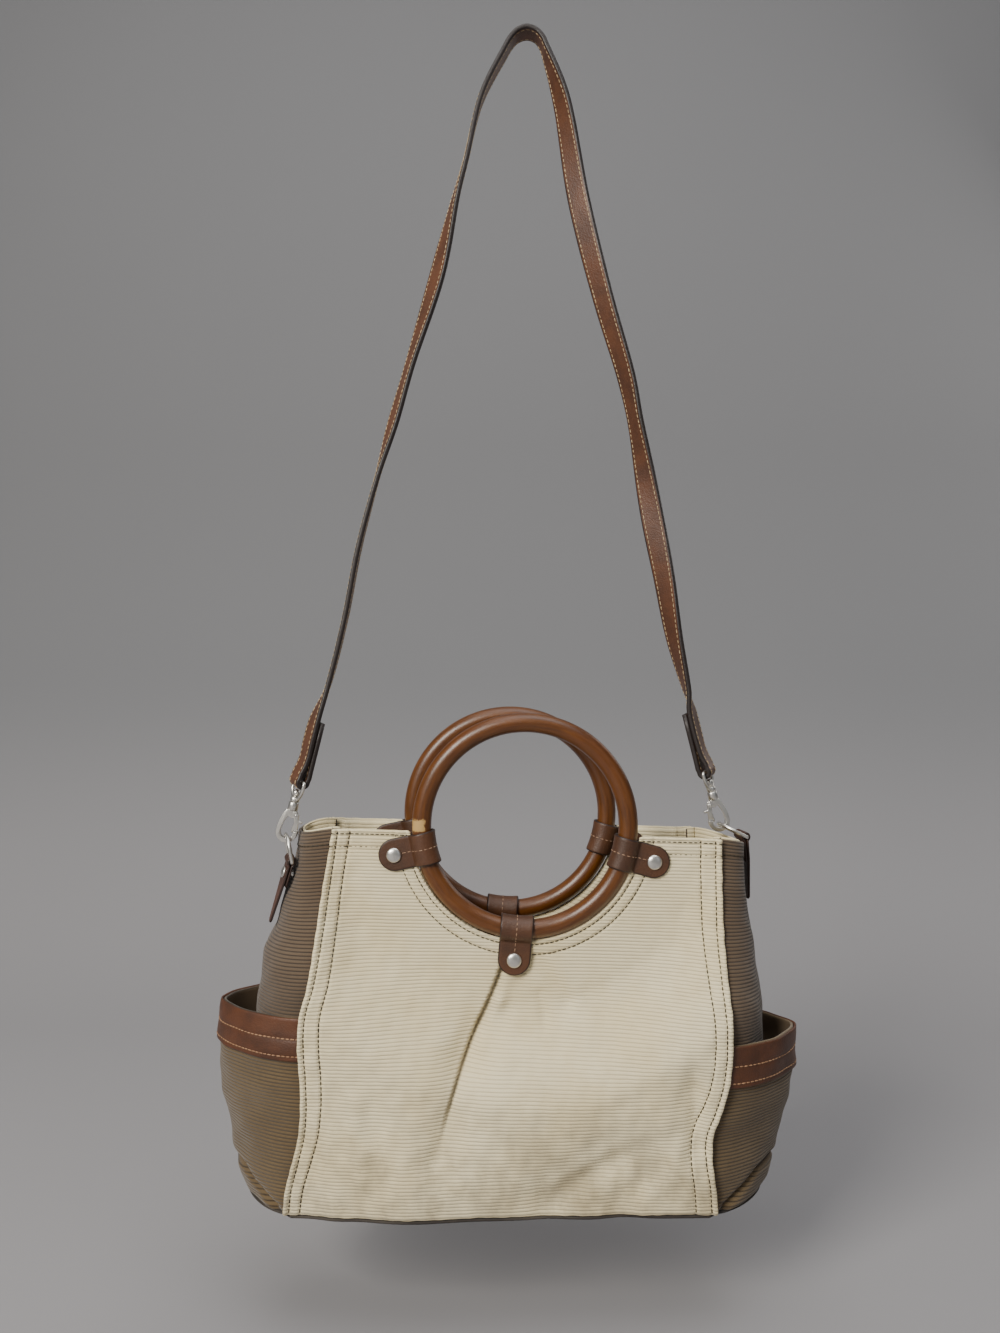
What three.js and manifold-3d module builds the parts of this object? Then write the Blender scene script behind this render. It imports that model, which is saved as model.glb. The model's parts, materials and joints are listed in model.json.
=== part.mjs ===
// A handbag hanging by its shoulder strap, in millimetres, +Z up and the front towards -Y.
// Two ribbed canvas panels and two bulging gussets make an open-topped body on a stiff base.
// A wooden ring is held in each panel's round neckline by three riveted leather tabs.
// Each gusset has an outer pocket with a leather band, and a leather anchor with a D-ring at its top.
// A long leather strap hooks on to the D-rings with two swivel snap hooks, whose gates open inwards.
// The origin is the underside of the strap's top, where the bag hangs.
import * as THREE from 'three';
import { mergeVertices } from 'three/addons/utils/BufferGeometryUtils.js';
import Module from 'manifold-3d';

const wasm = await Module();
wasm.setup();

// Body
const panelHeight = 247;
const panelWidth = 280;
const bagDepth = 104;
const canvas = 2;
const baseThickness = 2.4;
const baseInset = 0.6;
const topFall = 7;
const gussetDip = 4;
const gussetReach = 40;
const belly = 4;
const foldDepth = 8;
const foldWidth = 12;
const seamLap = 6;
const facingHeight = 24;
const facingThickness = 1.2;
const facingRise = 1.2;

// Pockets
const pocketReach = 64;
const pocketRimLeft = 127;
const pocketRimRight = 112;
const bandHeight = 28;
const bandThickness = 1.8;

// Ring handles
const ringDiameter = 152;
const ringTube = 13;
const ringSpacing = 50;
const ringRise = 2;
const ringLean = 2;
const backRingLeft = 9.6;
const backRingUp = 2.5;
const necklineGap = 0.4;
const flatMargin = 14;
const fadeShare = 0.65;

// Leather tabs and rivets
const tabThickness = 1.8;
const tabWidth = 22;
const tabReach = 24.5;
const rivetInset = 10.5;
const rivetShank = 4;
const rivetCap = 10;
const rivetDome = 2.2;
const rivetBack = 1;

// D-rings and their anchors
const dRingInside = 16;
const dRingLength = 17.5;
const dRingWire = 2.6;
const anchorWidth = 15;
const anchorLength = 45;
const anchorThickness = 1.6;
const anchorRivetDrop = 9;
const anchorRivetCap = 8;

// Snap hooks
const hookBowl = 9;
const hookMetal = 2.8;
const hookThickness = 5;
const hookBarrel = 7;
const hookBarrelFoot = 15;
const hookBarrelTop = 21;
const hookPost = 3;
const hookBall = 5.2;
const hookTilt = 14;
const eyeInside = 17.5;
const eyeLength = 13;
const eyeWire = 2.4;
const eyeCollar = 6.4;
const eyeCollarHeight = 3;
const gateThickness = 2.4;
const gatePin = 1.6;
const gatePivotSide = 3.6;
const gatePivotHeight = 12.3;

// Strap
const strapWidth = 16.5;
const strapThickness = 3.6;
const strapDrop = 518;
const strapFold = 42;
const strapSteps = 24;

// Clearances
const gap = 0.3;
const clothGap = 0.6;
const seatGap = 1;
const edge = 0.4;

// The panels' side seams, as shares of panelWidth from the line below the strap's top.
// Swell and belly are the shares of their full depth that a height has.
const seams = [
  { height: 0.000, left: -0.573, right: 0.440, swell: 0.90, belly: 0.90, back: 0.0 },
  { height: 0.070, left: -0.565, right: 0.435, swell: 0.97, belly: 1.00, back: 0.0 },
  { height: 0.145, left: -0.548, right: 0.426, swell: 1.00, belly: 1.00, back: 0.0 },
  { height: 0.215, left: -0.534, right: 0.428, swell: 1.00, belly: 1.00, back: 0.0 },
  { height: 0.290, left: -0.530, right: 0.450, swell: 1.00, belly: 1.00, back: 0.1 },
  { height: 0.360, left: -0.532, right: 0.466, swell: 1.00, belly: 1.00, back: 0.2 },
  { height: 0.440, left: -0.537, right: 0.473, swell: 1.00, belly: 0.90, back: 0.3 },
  { height: 0.520, left: -0.534, right: 0.473, swell: 0.98, belly: 0.80, back: 0.4 },
  { height: 0.600, left: -0.516, right: 0.468, swell: 0.93, belly: 0.60, back: 0.5 },
  { height: 0.735, left: -0.500, right: 0.463, swell: 0.82, belly: 0.30, back: 0.65 },
  { height: 0.830, left: -0.491, right: 0.464, swell: 0.70, belly: 0.10, back: 0.8 },
  { height: 1.000, left: -0.470, right: 0.464, swell: 0.50, belly: 0.00, back: 1.0 },
];

// How far each gusset stands out from its seams, as shares of gussetReach.
// Square is the exponent of its plan outline: 1 is a diamond, 2 an ellipse and more is boxy.
const gussets = [
  { height: 0.00, left: 0.42, right: 0.66, square: 1.6 },
  { height: 0.15, left: 0.62, right: 0.76, square: 1.7 },
  { height: 0.30, left: 0.78, right: 0.78, square: 1.8 },
  { height: 0.45, left: 0.87, right: 0.77, square: 1.9 },
  { height: 0.54, left: 0.89, right: 0.76, square: 2.0 },
  { height: 0.66, left: 0.93, right: 0.72, square: 2.1 },
  { height: 0.73, left: 0.77, right: 0.69, square: 2.2 },
  { height: 0.80, left: 0.69, right: 0.61, square: 2.4 },
  { height: 0.90, left: 0.57, right: 0.54, square: 2.6 },
  { height: 1.00, left: 0.54, right: 0.53, square: 2.8 },
];

// How far each pocket stands out from the same seams, as shares of pocketReach.
const pockets = [
  { height: 0.000, left: 0.530, right: 0.620 },
  { height: 0.025, left: 0.600, right: 0.680 },
  { height: 0.090, left: 0.720, right: 0.790 },
  { height: 0.165, left: 0.840, right: 0.890 },
  { height: 0.240, left: 0.960, right: 0.940 },
  { height: 0.290, left: 1.000, right: 0.910 },
  { height: 0.385, left: 0.985, right: 0.850 },
  { height: 0.520, left: 0.915, right: 0.830 },
];
const pocketSquare = 1.5;

// Folds and dents of the front panel: each runs from one point to another, x as a share of
// panelWidth and height of panelHeight, with its depth and width as shares of foldDepth and foldWidth.
const frontFolds = [
  { x1: -0.065, h1: 0.61, x2: -0.150, h2: 0.395, depth: 0.70, width: 1.0 },
  { x1: -0.150, h1: 0.395, x2: -0.205, h2: 0.16, depth: 0.55, width: 1.2 },
  { x1: 0.031, h1: 0.64, x2: 0.122, h2: 0.50, depth: -0.35, width: 1.2 },
  { x1: 0.049, h1: 0.06, x2: 0.179, h2: 0.155, depth: 0.75, width: 1.3 },
  { x1: 0.290, h1: 0.13, x2: 0.222, h2: 0.03, depth: 0.50, width: 1.2 },
  { x1: 0.374, h1: 0.33, x2: 0.390, h2: 0.17, depth: 0.45, width: 1.0 },
  { x1: -0.405, h1: 0.82, x2: -0.405, h2: 0.66, depth: 0.35, width: 1.5 },
  { x1: -0.450, h1: 0.22, x2: -0.450, h2: 0.00, depth: -0.30, width: 1.0 },
  { x1: -0.300, h1: 0.10, x2: -0.290, h2: 0.00, depth: -0.75, width: 3.0 },
];
const backFolds = [
  { x1: 0.020, h1: 0.60, x2: 0.090, h2: 0.22, depth: 0.60, width: 1.2 },
  { x1: -0.130, h1: 0.58, x2: -0.220, h2: 0.36, depth: 0.40, width: 1.4 },
  { x1: -0.300, h1: 0.20, x2: -0.120, h2: 0.05, depth: 0.60, width: 1.6 },
];

// The strap's way down each branch: drop as a share of strapDrop, side as a share of the way out
// to that branch's snap hook, and the turn of its width away from the bag's depth, in degrees.
const strapLeft = [
  { drop: 0.004, side: 0.042, turn: 0 },
  { drop: 0.013, side: 0.072, turn: 0 },
  { drop: 0.030, side: 0.105, turn: 0 },
  { drop: 0.090, side: 0.205, turn: 4 },
  { drop: 0.175, side: 0.275, turn: 10 },
  { drop: 0.225, side: 0.320, turn: 18 },
  { drop: 0.330, side: 0.402, turn: 42 },
  { drop: 0.450, side: 0.522, turn: 26 },
  { drop: 0.530, side: 0.598, turn: 28 },
  { drop: 0.600, side: 0.664, turn: 10 },
  { drop: 0.695, side: 0.745, turn: 4 },
  { drop: 0.790, side: 0.805, turn: 4 },
  { drop: 0.880, side: 0.880, turn: 8 },
];
const strapRight = [
  { drop: 0.004, side: 0.050, turn: 0 },
  { drop: 0.013, side: 0.082, turn: 3 },
  { drop: 0.030, side: 0.110, turn: 8 },
  { drop: 0.090, side: 0.190, turn: 34 },
  { drop: 0.225, side: 0.288, turn: 56 },
  { drop: 0.357, side: 0.424, turn: 47 },
  { drop: 0.465, side: 0.555, turn: 36 },
  { drop: 0.530, side: 0.610, turn: 28 },
  { drop: 0.650, side: 0.697, turn: 62 },
  { drop: 0.730, side: 0.762, turn: 50 },
  { drop: 0.815, side: 0.822, turn: 29 },
  { drop: 0.885, side: 0.892, turn: 2 },
];
const strapEndTurn = { left: 30, right: -25 };

// Where each branch is anchored on its gusset, and how the D-ring lies there, in degrees.
const anchors = {
  left: { side: -1, bar: 0.907, turn: 20, lean: -10 },
  right: { side: 1, bar: 0.995, turn: 0, lean: 63 },
};

const colours = {
  cream: 0xcdc3a3, brown: 0x6e5a48, olive: 0x78664a, band: 0x784428, tab: 0x643e2d,
  wood: 0x824b1d, nickel: 0xb9b6ae, strap: 0x6b4029, base: 0x2a2522,
};

// Rows spread over a height, and numbers read smoothly from a table at any height.
const span = (count, from = 0, to = 1) =>
  Array.from({ length: count + 1 }, (_, i) => from + (to - from) * i / count);
const radians = THREE.MathUtils.degToRad;
const smooth = THREE.MathUtils.smoothstep;

function read(table, key, column, at) {
  const last = table.length - 1;
  const place = THREE.MathUtils.clamp(at, table[0][key], table[last][key]);
  let i = table.findIndex((row) => row[key] > place) - 1;
  if (i < 0) i = last - 1;
  const [a, b] = [table[i], table[i + 1]];
  const width = b[key] - a[key];
  const slope = (j, k) => (table[k][column] - table[j][column]) / (table[k][key] - table[j][key]);
  const startSlope = slope(Math.max(i - 1, 0), i + 1) * width;
  const endSlope = slope(i, Math.min(i + 2, last)) * width;
  const t = (place - a[key]) / width;
  return a[column] * (2 * t ** 3 - 3 * t ** 2 + 1) + startSlope * (t ** 3 - 2 * t ** 2 + t)
    + b[column] * (3 * t ** 2 - 2 * t ** 3) + endSlope * (t ** 3 - t ** 2);
}

// A closed body from triangles, with its faces turned outwards.
function closed(points, triangles) {
  let volume = 0;
  const [a, b, c] = [new THREE.Vector3(), new THREE.Vector3(), new THREE.Vector3()];
  for (let i = 0; i < triangles.length; i += 3) {
    a.copy(points[triangles[i]]);
    b.copy(points[triangles[i + 1]]);
    c.copy(points[triangles[i + 2]]);
    volume += a.dot(b.cross(c));
  }
  const index = [...triangles];
  if (volume < 0) index.reverse();
  const geometry = new THREE.BufferGeometry();
  const places = points.flatMap((point) => point.toArray());
  geometry.setAttribute('position', new THREE.Float32BufferAttribute(places, 3));
  geometry.setIndex(index);
  return geometry;
}

// A sheet with a thickness: two grids of points, outer and inner, joined along their four edges.
function sheet(rows, columns, outer, inner) {
  const [high, wide] = [rows.length, columns.length];
  const grid = (face) => rows.flatMap((row) => columns.map((column) => face(row, column)));
  const points = [...grid(outer), ...grid(inner)];
  const at = (face, i, j) => face * high * wide + i * wide + j;
  const triangles = [];
  const quad = (p, q, r, s) => triangles.push(p, q, r, p, r, s);
  for (let i = 0; i < high - 1; i++) {
    for (let j = 0; j < wide - 1; j++) {
      quad(at(0, i, j), at(0, i, j + 1), at(0, i + 1, j + 1), at(0, i + 1, j));
      quad(at(1, i, j), at(1, i + 1, j), at(1, i + 1, j + 1), at(1, i, j + 1));
    }
  }
  for (let j = 0; j < wide - 1; j++) {
    quad(at(0, 0, j), at(1, 0, j), at(1, 0, j + 1), at(0, 0, j + 1));
    quad(at(0, high - 1, j), at(0, high - 1, j + 1), at(1, high - 1, j + 1), at(1, high - 1, j));
  }
  for (let i = 0; i < high - 1; i++) {
    quad(at(0, i, 0), at(0, i + 1, 0), at(1, i + 1, 0), at(1, i, 0));
    quad(at(0, i, wide - 1), at(1, i, wide - 1), at(1, i + 1, wide - 1), at(0, i + 1, wide - 1));
  }
  return closed(points, triangles);
}

// Joining and cutting closed bodies.
function solid(geometry) {
  const bare = geometry.clone();
  bare.deleteAttribute('normal');
  bare.deleteAttribute('uv');
  const merged = mergeVertices(bare, 1e-4);
  return new wasm.Manifold(new wasm.Mesh({
    numProp: 3,
    vertProperties: new Float32Array(merged.getAttribute('position').array),
    triVerts: new Uint32Array(merged.getIndex().array),
  }));
}

function body(manifold) {
  const mesh = manifold.getMesh();
  const geometry = new THREE.BufferGeometry();
  geometry.setAttribute('position', new THREE.BufferAttribute(new Float32Array(mesh.vertProperties), 3));
  geometry.setIndex(new THREE.BufferAttribute(new Uint32Array(mesh.triVerts), 1));
  return geometry;
}

const join = (...parts) => body(parts.map(solid).reduce((whole, part) => whole.add(part)));
const cut = (geometry, ...tools) =>
  body(tools.map(solid).reduce((whole, tool) => whole.subtract(tool), solid(geometry)));
const keep = (geometry, tool) => body(solid(geometry).intersect(solid(tool)));

// A cylinder along Y, centred on the origin.
const rod = (diameter, length, sides) =>
  new THREE.CylinderGeometry(diameter / 2, diameter / 2, length, sides);

// A plate drawn in X and Z, with its thickness centred on Y = 0.
function plate(outline, thickness) {
  const options = { depth: thickness, bevelEnabled: false, curveSegments: 4 };
  return new THREE.ExtrudeGeometry(outline, options).translate(0, 0, -thickness / 2).rotateX(Math.PI / 2);
}

const pieces = [];
function piece(name, geometry, colour, roughness = 0.8, metalness = 0) {
  const material = new THREE.MeshStandardMaterial({ color: colour, roughness, metalness });
  const mesh = new THREE.Mesh(geometry, material);
  mesh.name = name;
  pieces.push(mesh);
  return mesh;
}

// Where things are on the body: faces are -1 for the front and 1 for the back, sides -1 for the
// left and 1 for the right. Heights are shares of the panel's height.
const ringRadius = (ringDiameter - ringTube) / 2;
const ringCentre = (face) => new THREE.Vector3(
  -ringLean - (face > 0 ? backRingLeft : 0),
  face * ringSpacing / 2,
  panelHeight + ringRise + (face > 0 ? backRingUp : 0),
);
const flatRadius = ringDiameter / 2 + tabReach + flatMargin;
const flatFade = bagDepth * fadeShare;

const topHeight = (across) => panelHeight - topFall * across;
const sideTop = (side) => topHeight(side < 0 ? 0 : 1);
const seamX = (side, face, h) =>
  panelWidth * read(seams, 'height', side < 0 ? 'left' : 'right', h)
  - (face > 0 ? backRingLeft * read(seams, 'height', 'back', h) : 0);

function foldAt(folds, x, h) {
  let depth = 0;
  for (const fold of folds) {
    const from = new THREE.Vector2(fold.x1 * panelWidth, fold.h1 * panelHeight);
    const way = new THREE.Vector2(fold.x2 * panelWidth, fold.h2 * panelHeight).sub(from);
    const point = new THREE.Vector2(x, h * panelHeight).sub(from);
    const along = THREE.MathUtils.clamp(point.dot(way) / way.lengthSq(), 0, 1);
    const away = point.sub(way.multiplyScalar(along)).length();
    depth += fold.depth * foldDepth * Math.exp(-((away / (fold.width * foldWidth)) ** 2));
  }
  return depth;
}

// How far a panel's outer face stands from the middle of the bag.
function panelOut(face, x, h) {
  const centre = ringCentre(face);
  const radius = Math.hypot(x - centre.x, h * panelHeight - centre.z);
  const free = smooth(radius, flatRadius, flatRadius + flatFade);
  const [left, right] = [seamX(-1, face, h), seamX(1, face, h)];
  const across = THREE.MathUtils.clamp((x - left) / (right - left), 0, 1);
  const swell = (bagDepth - ringSpacing) / 2 * read(seams, 'height', 'swell', h);
  const round = belly * read(seams, 'height', 'belly', h) * Math.sin(Math.PI * across) ** 1.5;
  const loose = smooth(radius, flatRadius, flatRadius + foldWidth * 2);
  return ringSpacing / 2 + canvas / 2 + free * (swell + round)
    - loose * foldAt(face < 0 ? frontFolds : backFolds, x, h);
}

function panel(face, rows, columns) {
  const point = (inset) => (h, across) => {
    const x = THREE.MathUtils.lerp(seamX(-1, face, h), seamX(1, face, h), across);
    return new THREE.Vector3(x, face * (panelOut(face, x, h) - inset), h * topHeight(across));
  };
  return sheet(rows, columns, point(0), point(canvas));
}

// The plan outline of a gusset or pocket at one height: it starts behind the front panel's edge,
// bulges out sideways and ends behind the back panel's edge. Each point has its outward normal.
const stations = [0, ...span(10, 0, 180), 180];

function sideOutline(side, h, reach, square, inset) {
  const rim = (face, x) => face * (panelOut(face, x, h) - inset);
  const [frontX, backX] = [seamX(side, -1, h), seamX(side, 1, h)];
  const [frontLap, backLap] = [frontX - side * seamLap, backX - side * seamLap];
  const points = stations.map((degrees, i) => {
    if (i === 0) return new THREE.Vector2(frontLap, rim(-1, frontLap));
    if (i === stations.length - 1) return new THREE.Vector2(backLap, rim(1, backLap));
    const angle = radians(degrees);
    const [sine, cosine] = [Math.abs(Math.sin(angle)), Math.cos(angle)];
    const along = Math.sign(cosine) * Math.abs(cosine) ** (2 / square);
    const x = THREE.MathUtils.lerp(frontX, backX, (1 - along) / 2) + side * reach * sine ** (2 / square);
    return new THREE.Vector2(x, along > 0 ? along * rim(-1, frontX) : -along * rim(1, backX));
  });
  const normals = points.map((_, i) => {
    if (i < 2) return new THREE.Vector2(0, -1);
    if (i > points.length - 3) return new THREE.Vector2(0, 1);
    const way = points[i + 1].clone().sub(points[i - 1]).normalize();
    return new THREE.Vector2(-side * -way.y, -side * way.x);
  });
  return { points, normals };
}

const sideKey = (side) => (side < 0 ? 'left' : 'right');
const pocketRim = (side) => (side < 0 ? pocketRimLeft : pocketRimRight);
const coverAt = (side, h) => 1 - smooth(h * panelHeight, pocketRim(side), pocketRim(side) + bandHeight);
const pocketInset = canvas + clothGap + bandThickness + gap;
const gussetInset = (side, h) =>
  canvas + clothGap + coverAt(side, h) * (pocketInset + clothGap - gap);

const gussetOutline = (side, h) => sideOutline(
  side, h, gussetReach * read(gussets, 'height', sideKey(side), h),
  read(gussets, 'height', 'square', h), gussetInset(side, h),
);
const pocketOutline = (side, h) => sideOutline(
  side, h, pocketReach * read(pockets, 'height', sideKey(side), h), pocketSquare, pocketInset,
);

// A gusset, pocket, band or facing: the outline at each height, moved along its normals.
function sideSheet(side, rows, outline, outside, inside, lift) {
  const point = (offset) => (h, i) => {
    const { points, normals } = outline(side, h);
    const place = points[i].clone().addScaledVector(normals[i], offset);
    const dip = Math.sin(radians(stations[i])) * gussetDip * h ** 4;
    return new THREE.Vector3(place.x, place.y, h * sideTop(side) - dip + lift(h));
  };
  return sheet(rows, stations.map((_, i) => i), point(outside), point(inside));
}

// The leather that loops round a ring or bar and comes back on both sides of what holds it.
// It is drawn with the bar at the origin and the leaves running out along X, apart along Y.
function loopedLeaf({ inside, thickness, spread, front, back, width }) {
  const outside = inside + thickness;
  const mouth = (radius, half) => Math.PI - Math.asin(half / radius);
  const [outerTurn, innerTurn] = [mouth(outside, spread + thickness), mouth(inside, spread)];
  const steps = 8;
  const arc = (radius, from, to) => span(steps, from, to).map((angle) => {
    const clear = radius / Math.cos((to - from) / steps / 2);
    return new THREE.Vector2(-clear * Math.cos(angle), -clear * Math.sin(angle));
  });
  const outline = new THREE.Shape([
    new THREE.Vector2(front, -(spread + thickness)),
    ...arc(outside, outerTurn, -outerTurn),
    new THREE.Vector2(back, spread + thickness),
    new THREE.Vector2(back, spread),
    ...arc(inside, -innerTurn, innerTurn),
    new THREE.Vector2(front, -spread),
  ]);
  const options = { depth: width, bevelEnabled: false };
  return new THREE.ExtrudeGeometry(outline, options).translate(0, 0, -width / 2);
}

// A leaf's outline seen from its face: straight sides, then a rounded or pointed end.
function leafOutline(from, to, width, pointed) {
  const half = width / 2;
  const shape = new THREE.Shape();
  shape.moveTo(from, -half);
  if (pointed) {
    shape.lineTo(to * 0.35, -half);
    shape.lineTo(to - half * 0.35, -half * 0.35);
    shape.lineTo(to, 0);
    shape.lineTo(to - half * 0.35, half * 0.35);
    shape.lineTo(to * 0.35, half);
  } else {
    shape.lineTo(to - half, -half);
    shape.absarc(to - half, 0, half, -Math.PI / 2, Math.PI / 2);
  }
  shape.lineTo(from, half);
  return shape;
}

function leaf(options, pointed, holeAt, holeDiameter) {
  const reach = Math.max(options.front, options.back);
  const depth = 4 * (options.inside + options.thickness);
  const outline = leafOutline(-depth, reach, options.width, pointed);
  const tool = new THREE.ExtrudeGeometry(outline, { depth, bevelEnabled: false, curveSegments: 5 })
    .translate(0, 0, -depth / 2).rotateX(Math.PI / 2);
  const hole = rod(holeDiameter, depth, 8).translate(holeAt, 0, 0);
  return cut(keep(loopedLeaf(options), tool), hole);
}

// A rivet along Y: a domed cap on the -Y side, a shank and a flat cap on the far side.
function rivet(cap, from, to) {
  const [shank, brim] = [rivetShank / 2, 0.6];
  const profile = [
    [0, from - rivetDome], [cap * 0.32, from - rivetDome * 0.8], [cap / 2, from - brim], [cap / 2, from],
    [shank, from], [shank, to], [cap * 0.4, to], [cap * 0.4, to + rivetBack], [0, to + rivetBack],
  ].map(([radius, height]) => new THREE.Vector2(radius, height));
  return new THREE.LatheGeometry(profile, 8);
}

// A closed wire loop with one straight bar at the origin along X and a round bow at Z = length.
function wireLoop(inside, length, wire) {
  const bow = (inside + wire) / 2;
  const corner = wire * 0.6;
  const points = [
    ...span(2, -bow + corner, bow - corner).map((x) => new THREE.Vector3(x, 0, 0)),
    new THREE.Vector3(bow - corner * 0.3, 0, corner * 0.3),
    ...span(7, 0, 180).map((degrees) => new THREE.Vector3(
      bow * Math.cos(radians(degrees)), 0, length - bow + bow * Math.sin(radians(degrees)),
    )),
    new THREE.Vector3(-bow + corner * 0.3, 0, corner * 0.3),
  ];
  const curve = new THREE.CatmullRomCurve3(points, true, 'centripetal');
  return new THREE.TubeGeometry(curve, 22, wire / 2, 6, true);
}

// Panels, gussets and base
const rows = span(12);
const necklineTool = (face) => {
  const centre = ringCentre(face);
  return rod(ringDiameter + 2 * necklineGap, bagDepth, 40).translate(centre.x, face * bagDepth / 2, centre.z);
};
const tabAngles = { left: 192.3, right: 344.6, bottom: 265.3 };
const rivetRadius = ringDiameter / 2 + tabReach - rivetInset;
const rivetHole = rivetShank + 2 * gap;
const tabRivetHole = (face, angle) => {
  const centre = ringCentre(face);
  return rod(rivetHole, bagDepth, 8).translate(
    centre.x + rivetRadius * Math.cos(radians(angle)),
    face * bagDepth / 2,
    centre.z + rivetRadius * Math.sin(radians(angle)),
  );
};
const seamShare = seamLap / panelWidth;
const panelColumns = (count) => [0, ...span(count, seamShare, 1 - seamShare), 1];
const panels = [
  { name: 'front_panel', face: -1, columns: panelColumns(19) },
  { name: 'back_panel', face: 1, columns: panelColumns(13) },
];
for (const { name, face, columns } of panels) {
  const holes = Object.values(tabAngles).map((angle) => tabRivetHole(face, angle));
  piece(name, cut(panel(face, rows, columns), necklineTool(face), ...holes), colours.cream);
}

// Each anchor: the D-ring's bar lies against the gusset, and the leather follows the cloth down.
const anchorSpread = gap / 2;
const anchorInside = dRingWire / 2 + gap;
const anchorOut = anchorInside + anchorThickness + gap;

function anchorPlace({ side, bar, turn }) {
  const surface = (h) => {
    const { points, normals } = gussetOutline(side, h);
    const at = 90 - turn;
    const i = stations.findIndex((degrees) => degrees > at) - 1;
    const t = (at - stations[i]) / (stations[i + 1] - stations[i]);
    const normal = normals[i].clone().lerp(normals[i + 1], t).normalize();
    const place = points[i].clone().lerp(points[i + 1], t);
    return { place, normal, height: h * sideTop(side) };
  };
  const foot = bar - anchorLength / panelHeight;
  const [top, low] = [surface(bar), surface(foot)];
  const point = (spot, out) => new THREE.Vector3(
    spot.place.x + spot.normal.x * out, spot.place.y + spot.normal.y * out, spot.height,
  );
  const centre = point(top, anchorOut);
  const down = point(low, anchorOut).sub(centre).normalize();
  const along = new THREE.Vector3(-top.normal.y, top.normal.x, 0);
  const out = new THREE.Vector3().crossVectors(along, down);
  if (out.dot(new THREE.Vector3(top.normal.x, top.normal.y, 0)) < 0) out.negate();
  const riveted = point(surface(bar - anchorRivetDrop / panelHeight), 0);
  const cloth = -riveted.sub(centre).dot(out);
  return { centre, down, out, cloth, along: new THREE.Vector3().crossVectors(down, out) };
}

const anchorFrame = ({ centre, down, out }) => {
  const inward = out.clone().negate();
  const across = new THREE.Vector3().crossVectors(down, inward);
  return new THREE.Matrix4().makeBasis(down, inward, across).setPosition(centre);
};

for (const side of [-1, 1]) {
  const name = sideKey(side);
  const anchor = anchorPlace(anchors[name]);
  const hole = rod(rivetHole, 6 * anchorOut, 8).translate(anchorRivetDrop, 0, 0)
    .applyMatrix4(anchorFrame(anchor));
  const gusset = sideSheet(side, rows, gussetOutline, 0, -canvas, () => 0);
  piece(`${name}_gusset`, cut(gusset, hole), colours.brown);

  const facingRows = span(2, 1 - facingHeight / panelHeight, 1);
  const facing = sideSheet(
    side, facingRows, gussetOutline, -canvas - gap, -canvas - gap - facingThickness,
    (h) => (h === 1 ? facingRise : 0),
  );
  piece(`${name}_facing`, cut(facing, hole), colours.cream);

  const pocketTop = pocketRim(side) / panelHeight;
  const pocket = sideSheet(side, span(9, 0, pocketTop), pocketOutline, 0, -canvas, () => 0);
  piece(`${name}_pocket`, pocket, colours.olive);
  const bandRows = span(2, pocketTop - bandHeight / panelHeight, pocketTop);
  const band = sideSheet(
    side, bandRows, pocketOutline, gap + bandThickness, gap, (h) => (h === pocketTop ? edge : 0),
  );
  piece(`${name}_pocket_band`, band, colours.band, 0.6);
}

// The base follows the foot of the walls all round, a little inside them.
function baseOutline() {
  const along = (face) => span(12).slice(1, -1).map((across) => {
    const x = THREE.MathUtils.lerp(seamX(-1, face, 0), seamX(1, face, 0), across);
    return new THREE.Vector2(x, face * (panelOut(face, x, 0) - baseInset));
  });
  const round = (side) => {
    const { points, normals } = pocketOutline(side, 0);
    return points.map((point, i) => point.addScaledVector(normals[i], -baseInset)).slice(1, -1);
  };
  return [...along(-1), ...round(1), ...along(1).reverse(), ...round(-1).reverse()];
}
const baseOptions = { depth: baseThickness, bevelEnabled: false };
const base = new THREE.ExtrudeGeometry(new THREE.Shape(baseOutline()), baseOptions);
piece('base_panel', base.translate(0, 0, -gap - baseThickness), colours.base);

// Wooden rings, each in its panel's plane
for (const [name, face] of [['front_ring', -1], ['back_ring', 1]]) {
  const ring = new THREE.TorusGeometry(ringRadius, ringTube / 2, 8, 32).rotateX(Math.PI / 2);
  piece(name, ring, colours.wood, 0.35).position.copy(ringCentre(face));
}

// Leather tabs round the rings, with the panel between their leaves, and their rivets
const tabSag = ringRadius - Math.sqrt(ringRadius ** 2 - (tabWidth / 2) ** 2);
const tabSpread = canvas / 2 + gap;
const tabInside = ringTube / 2 + tabSag / 2 + gap;
const tabCentre = ringRadius - tabSag / 2;
for (const [label, face] of [['front', -1], ['back', 1]]) {
  for (const [where, angle] of Object.entries(tabAngles)) {
    const turned = (geometry) => geometry.rotateY(-radians(angle));
    const length = ringDiameter / 2 + tabReach - tabCentre;
    const options = {
      inside: tabInside,
      thickness: tabThickness,
      spread: tabSpread,
      front: length,
      back: length,
      width: tabWidth,
    };
    const strip = leaf(options, false, rivetRadius - tabCentre, rivetHole).translate(tabCentre, 0, 0);
    piece(`${label}_${where}_tab`, turned(strip), colours.tab, 0.6).position.copy(ringCentre(face));
    const reach = tabSpread + tabThickness + gap;
    const stud = rivet(rivetCap, -reach, reach);
    if (face > 0) stud.rotateX(Math.PI);
    piece(`${label}_${where}_rivet`, turned(stud.translate(rivetRadius, 0, 0)), colours.nickel, 0.3, 1)
      .position.copy(ringCentre(face));
  }
}

// The snap hook, drawn upright with the middle of its bowl at the origin and its gate towards +X
const bowlIn = hookBowl / 2;
const bowlOut = bowlIn + hookMetal;
const noseAngle = radians(15);

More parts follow.
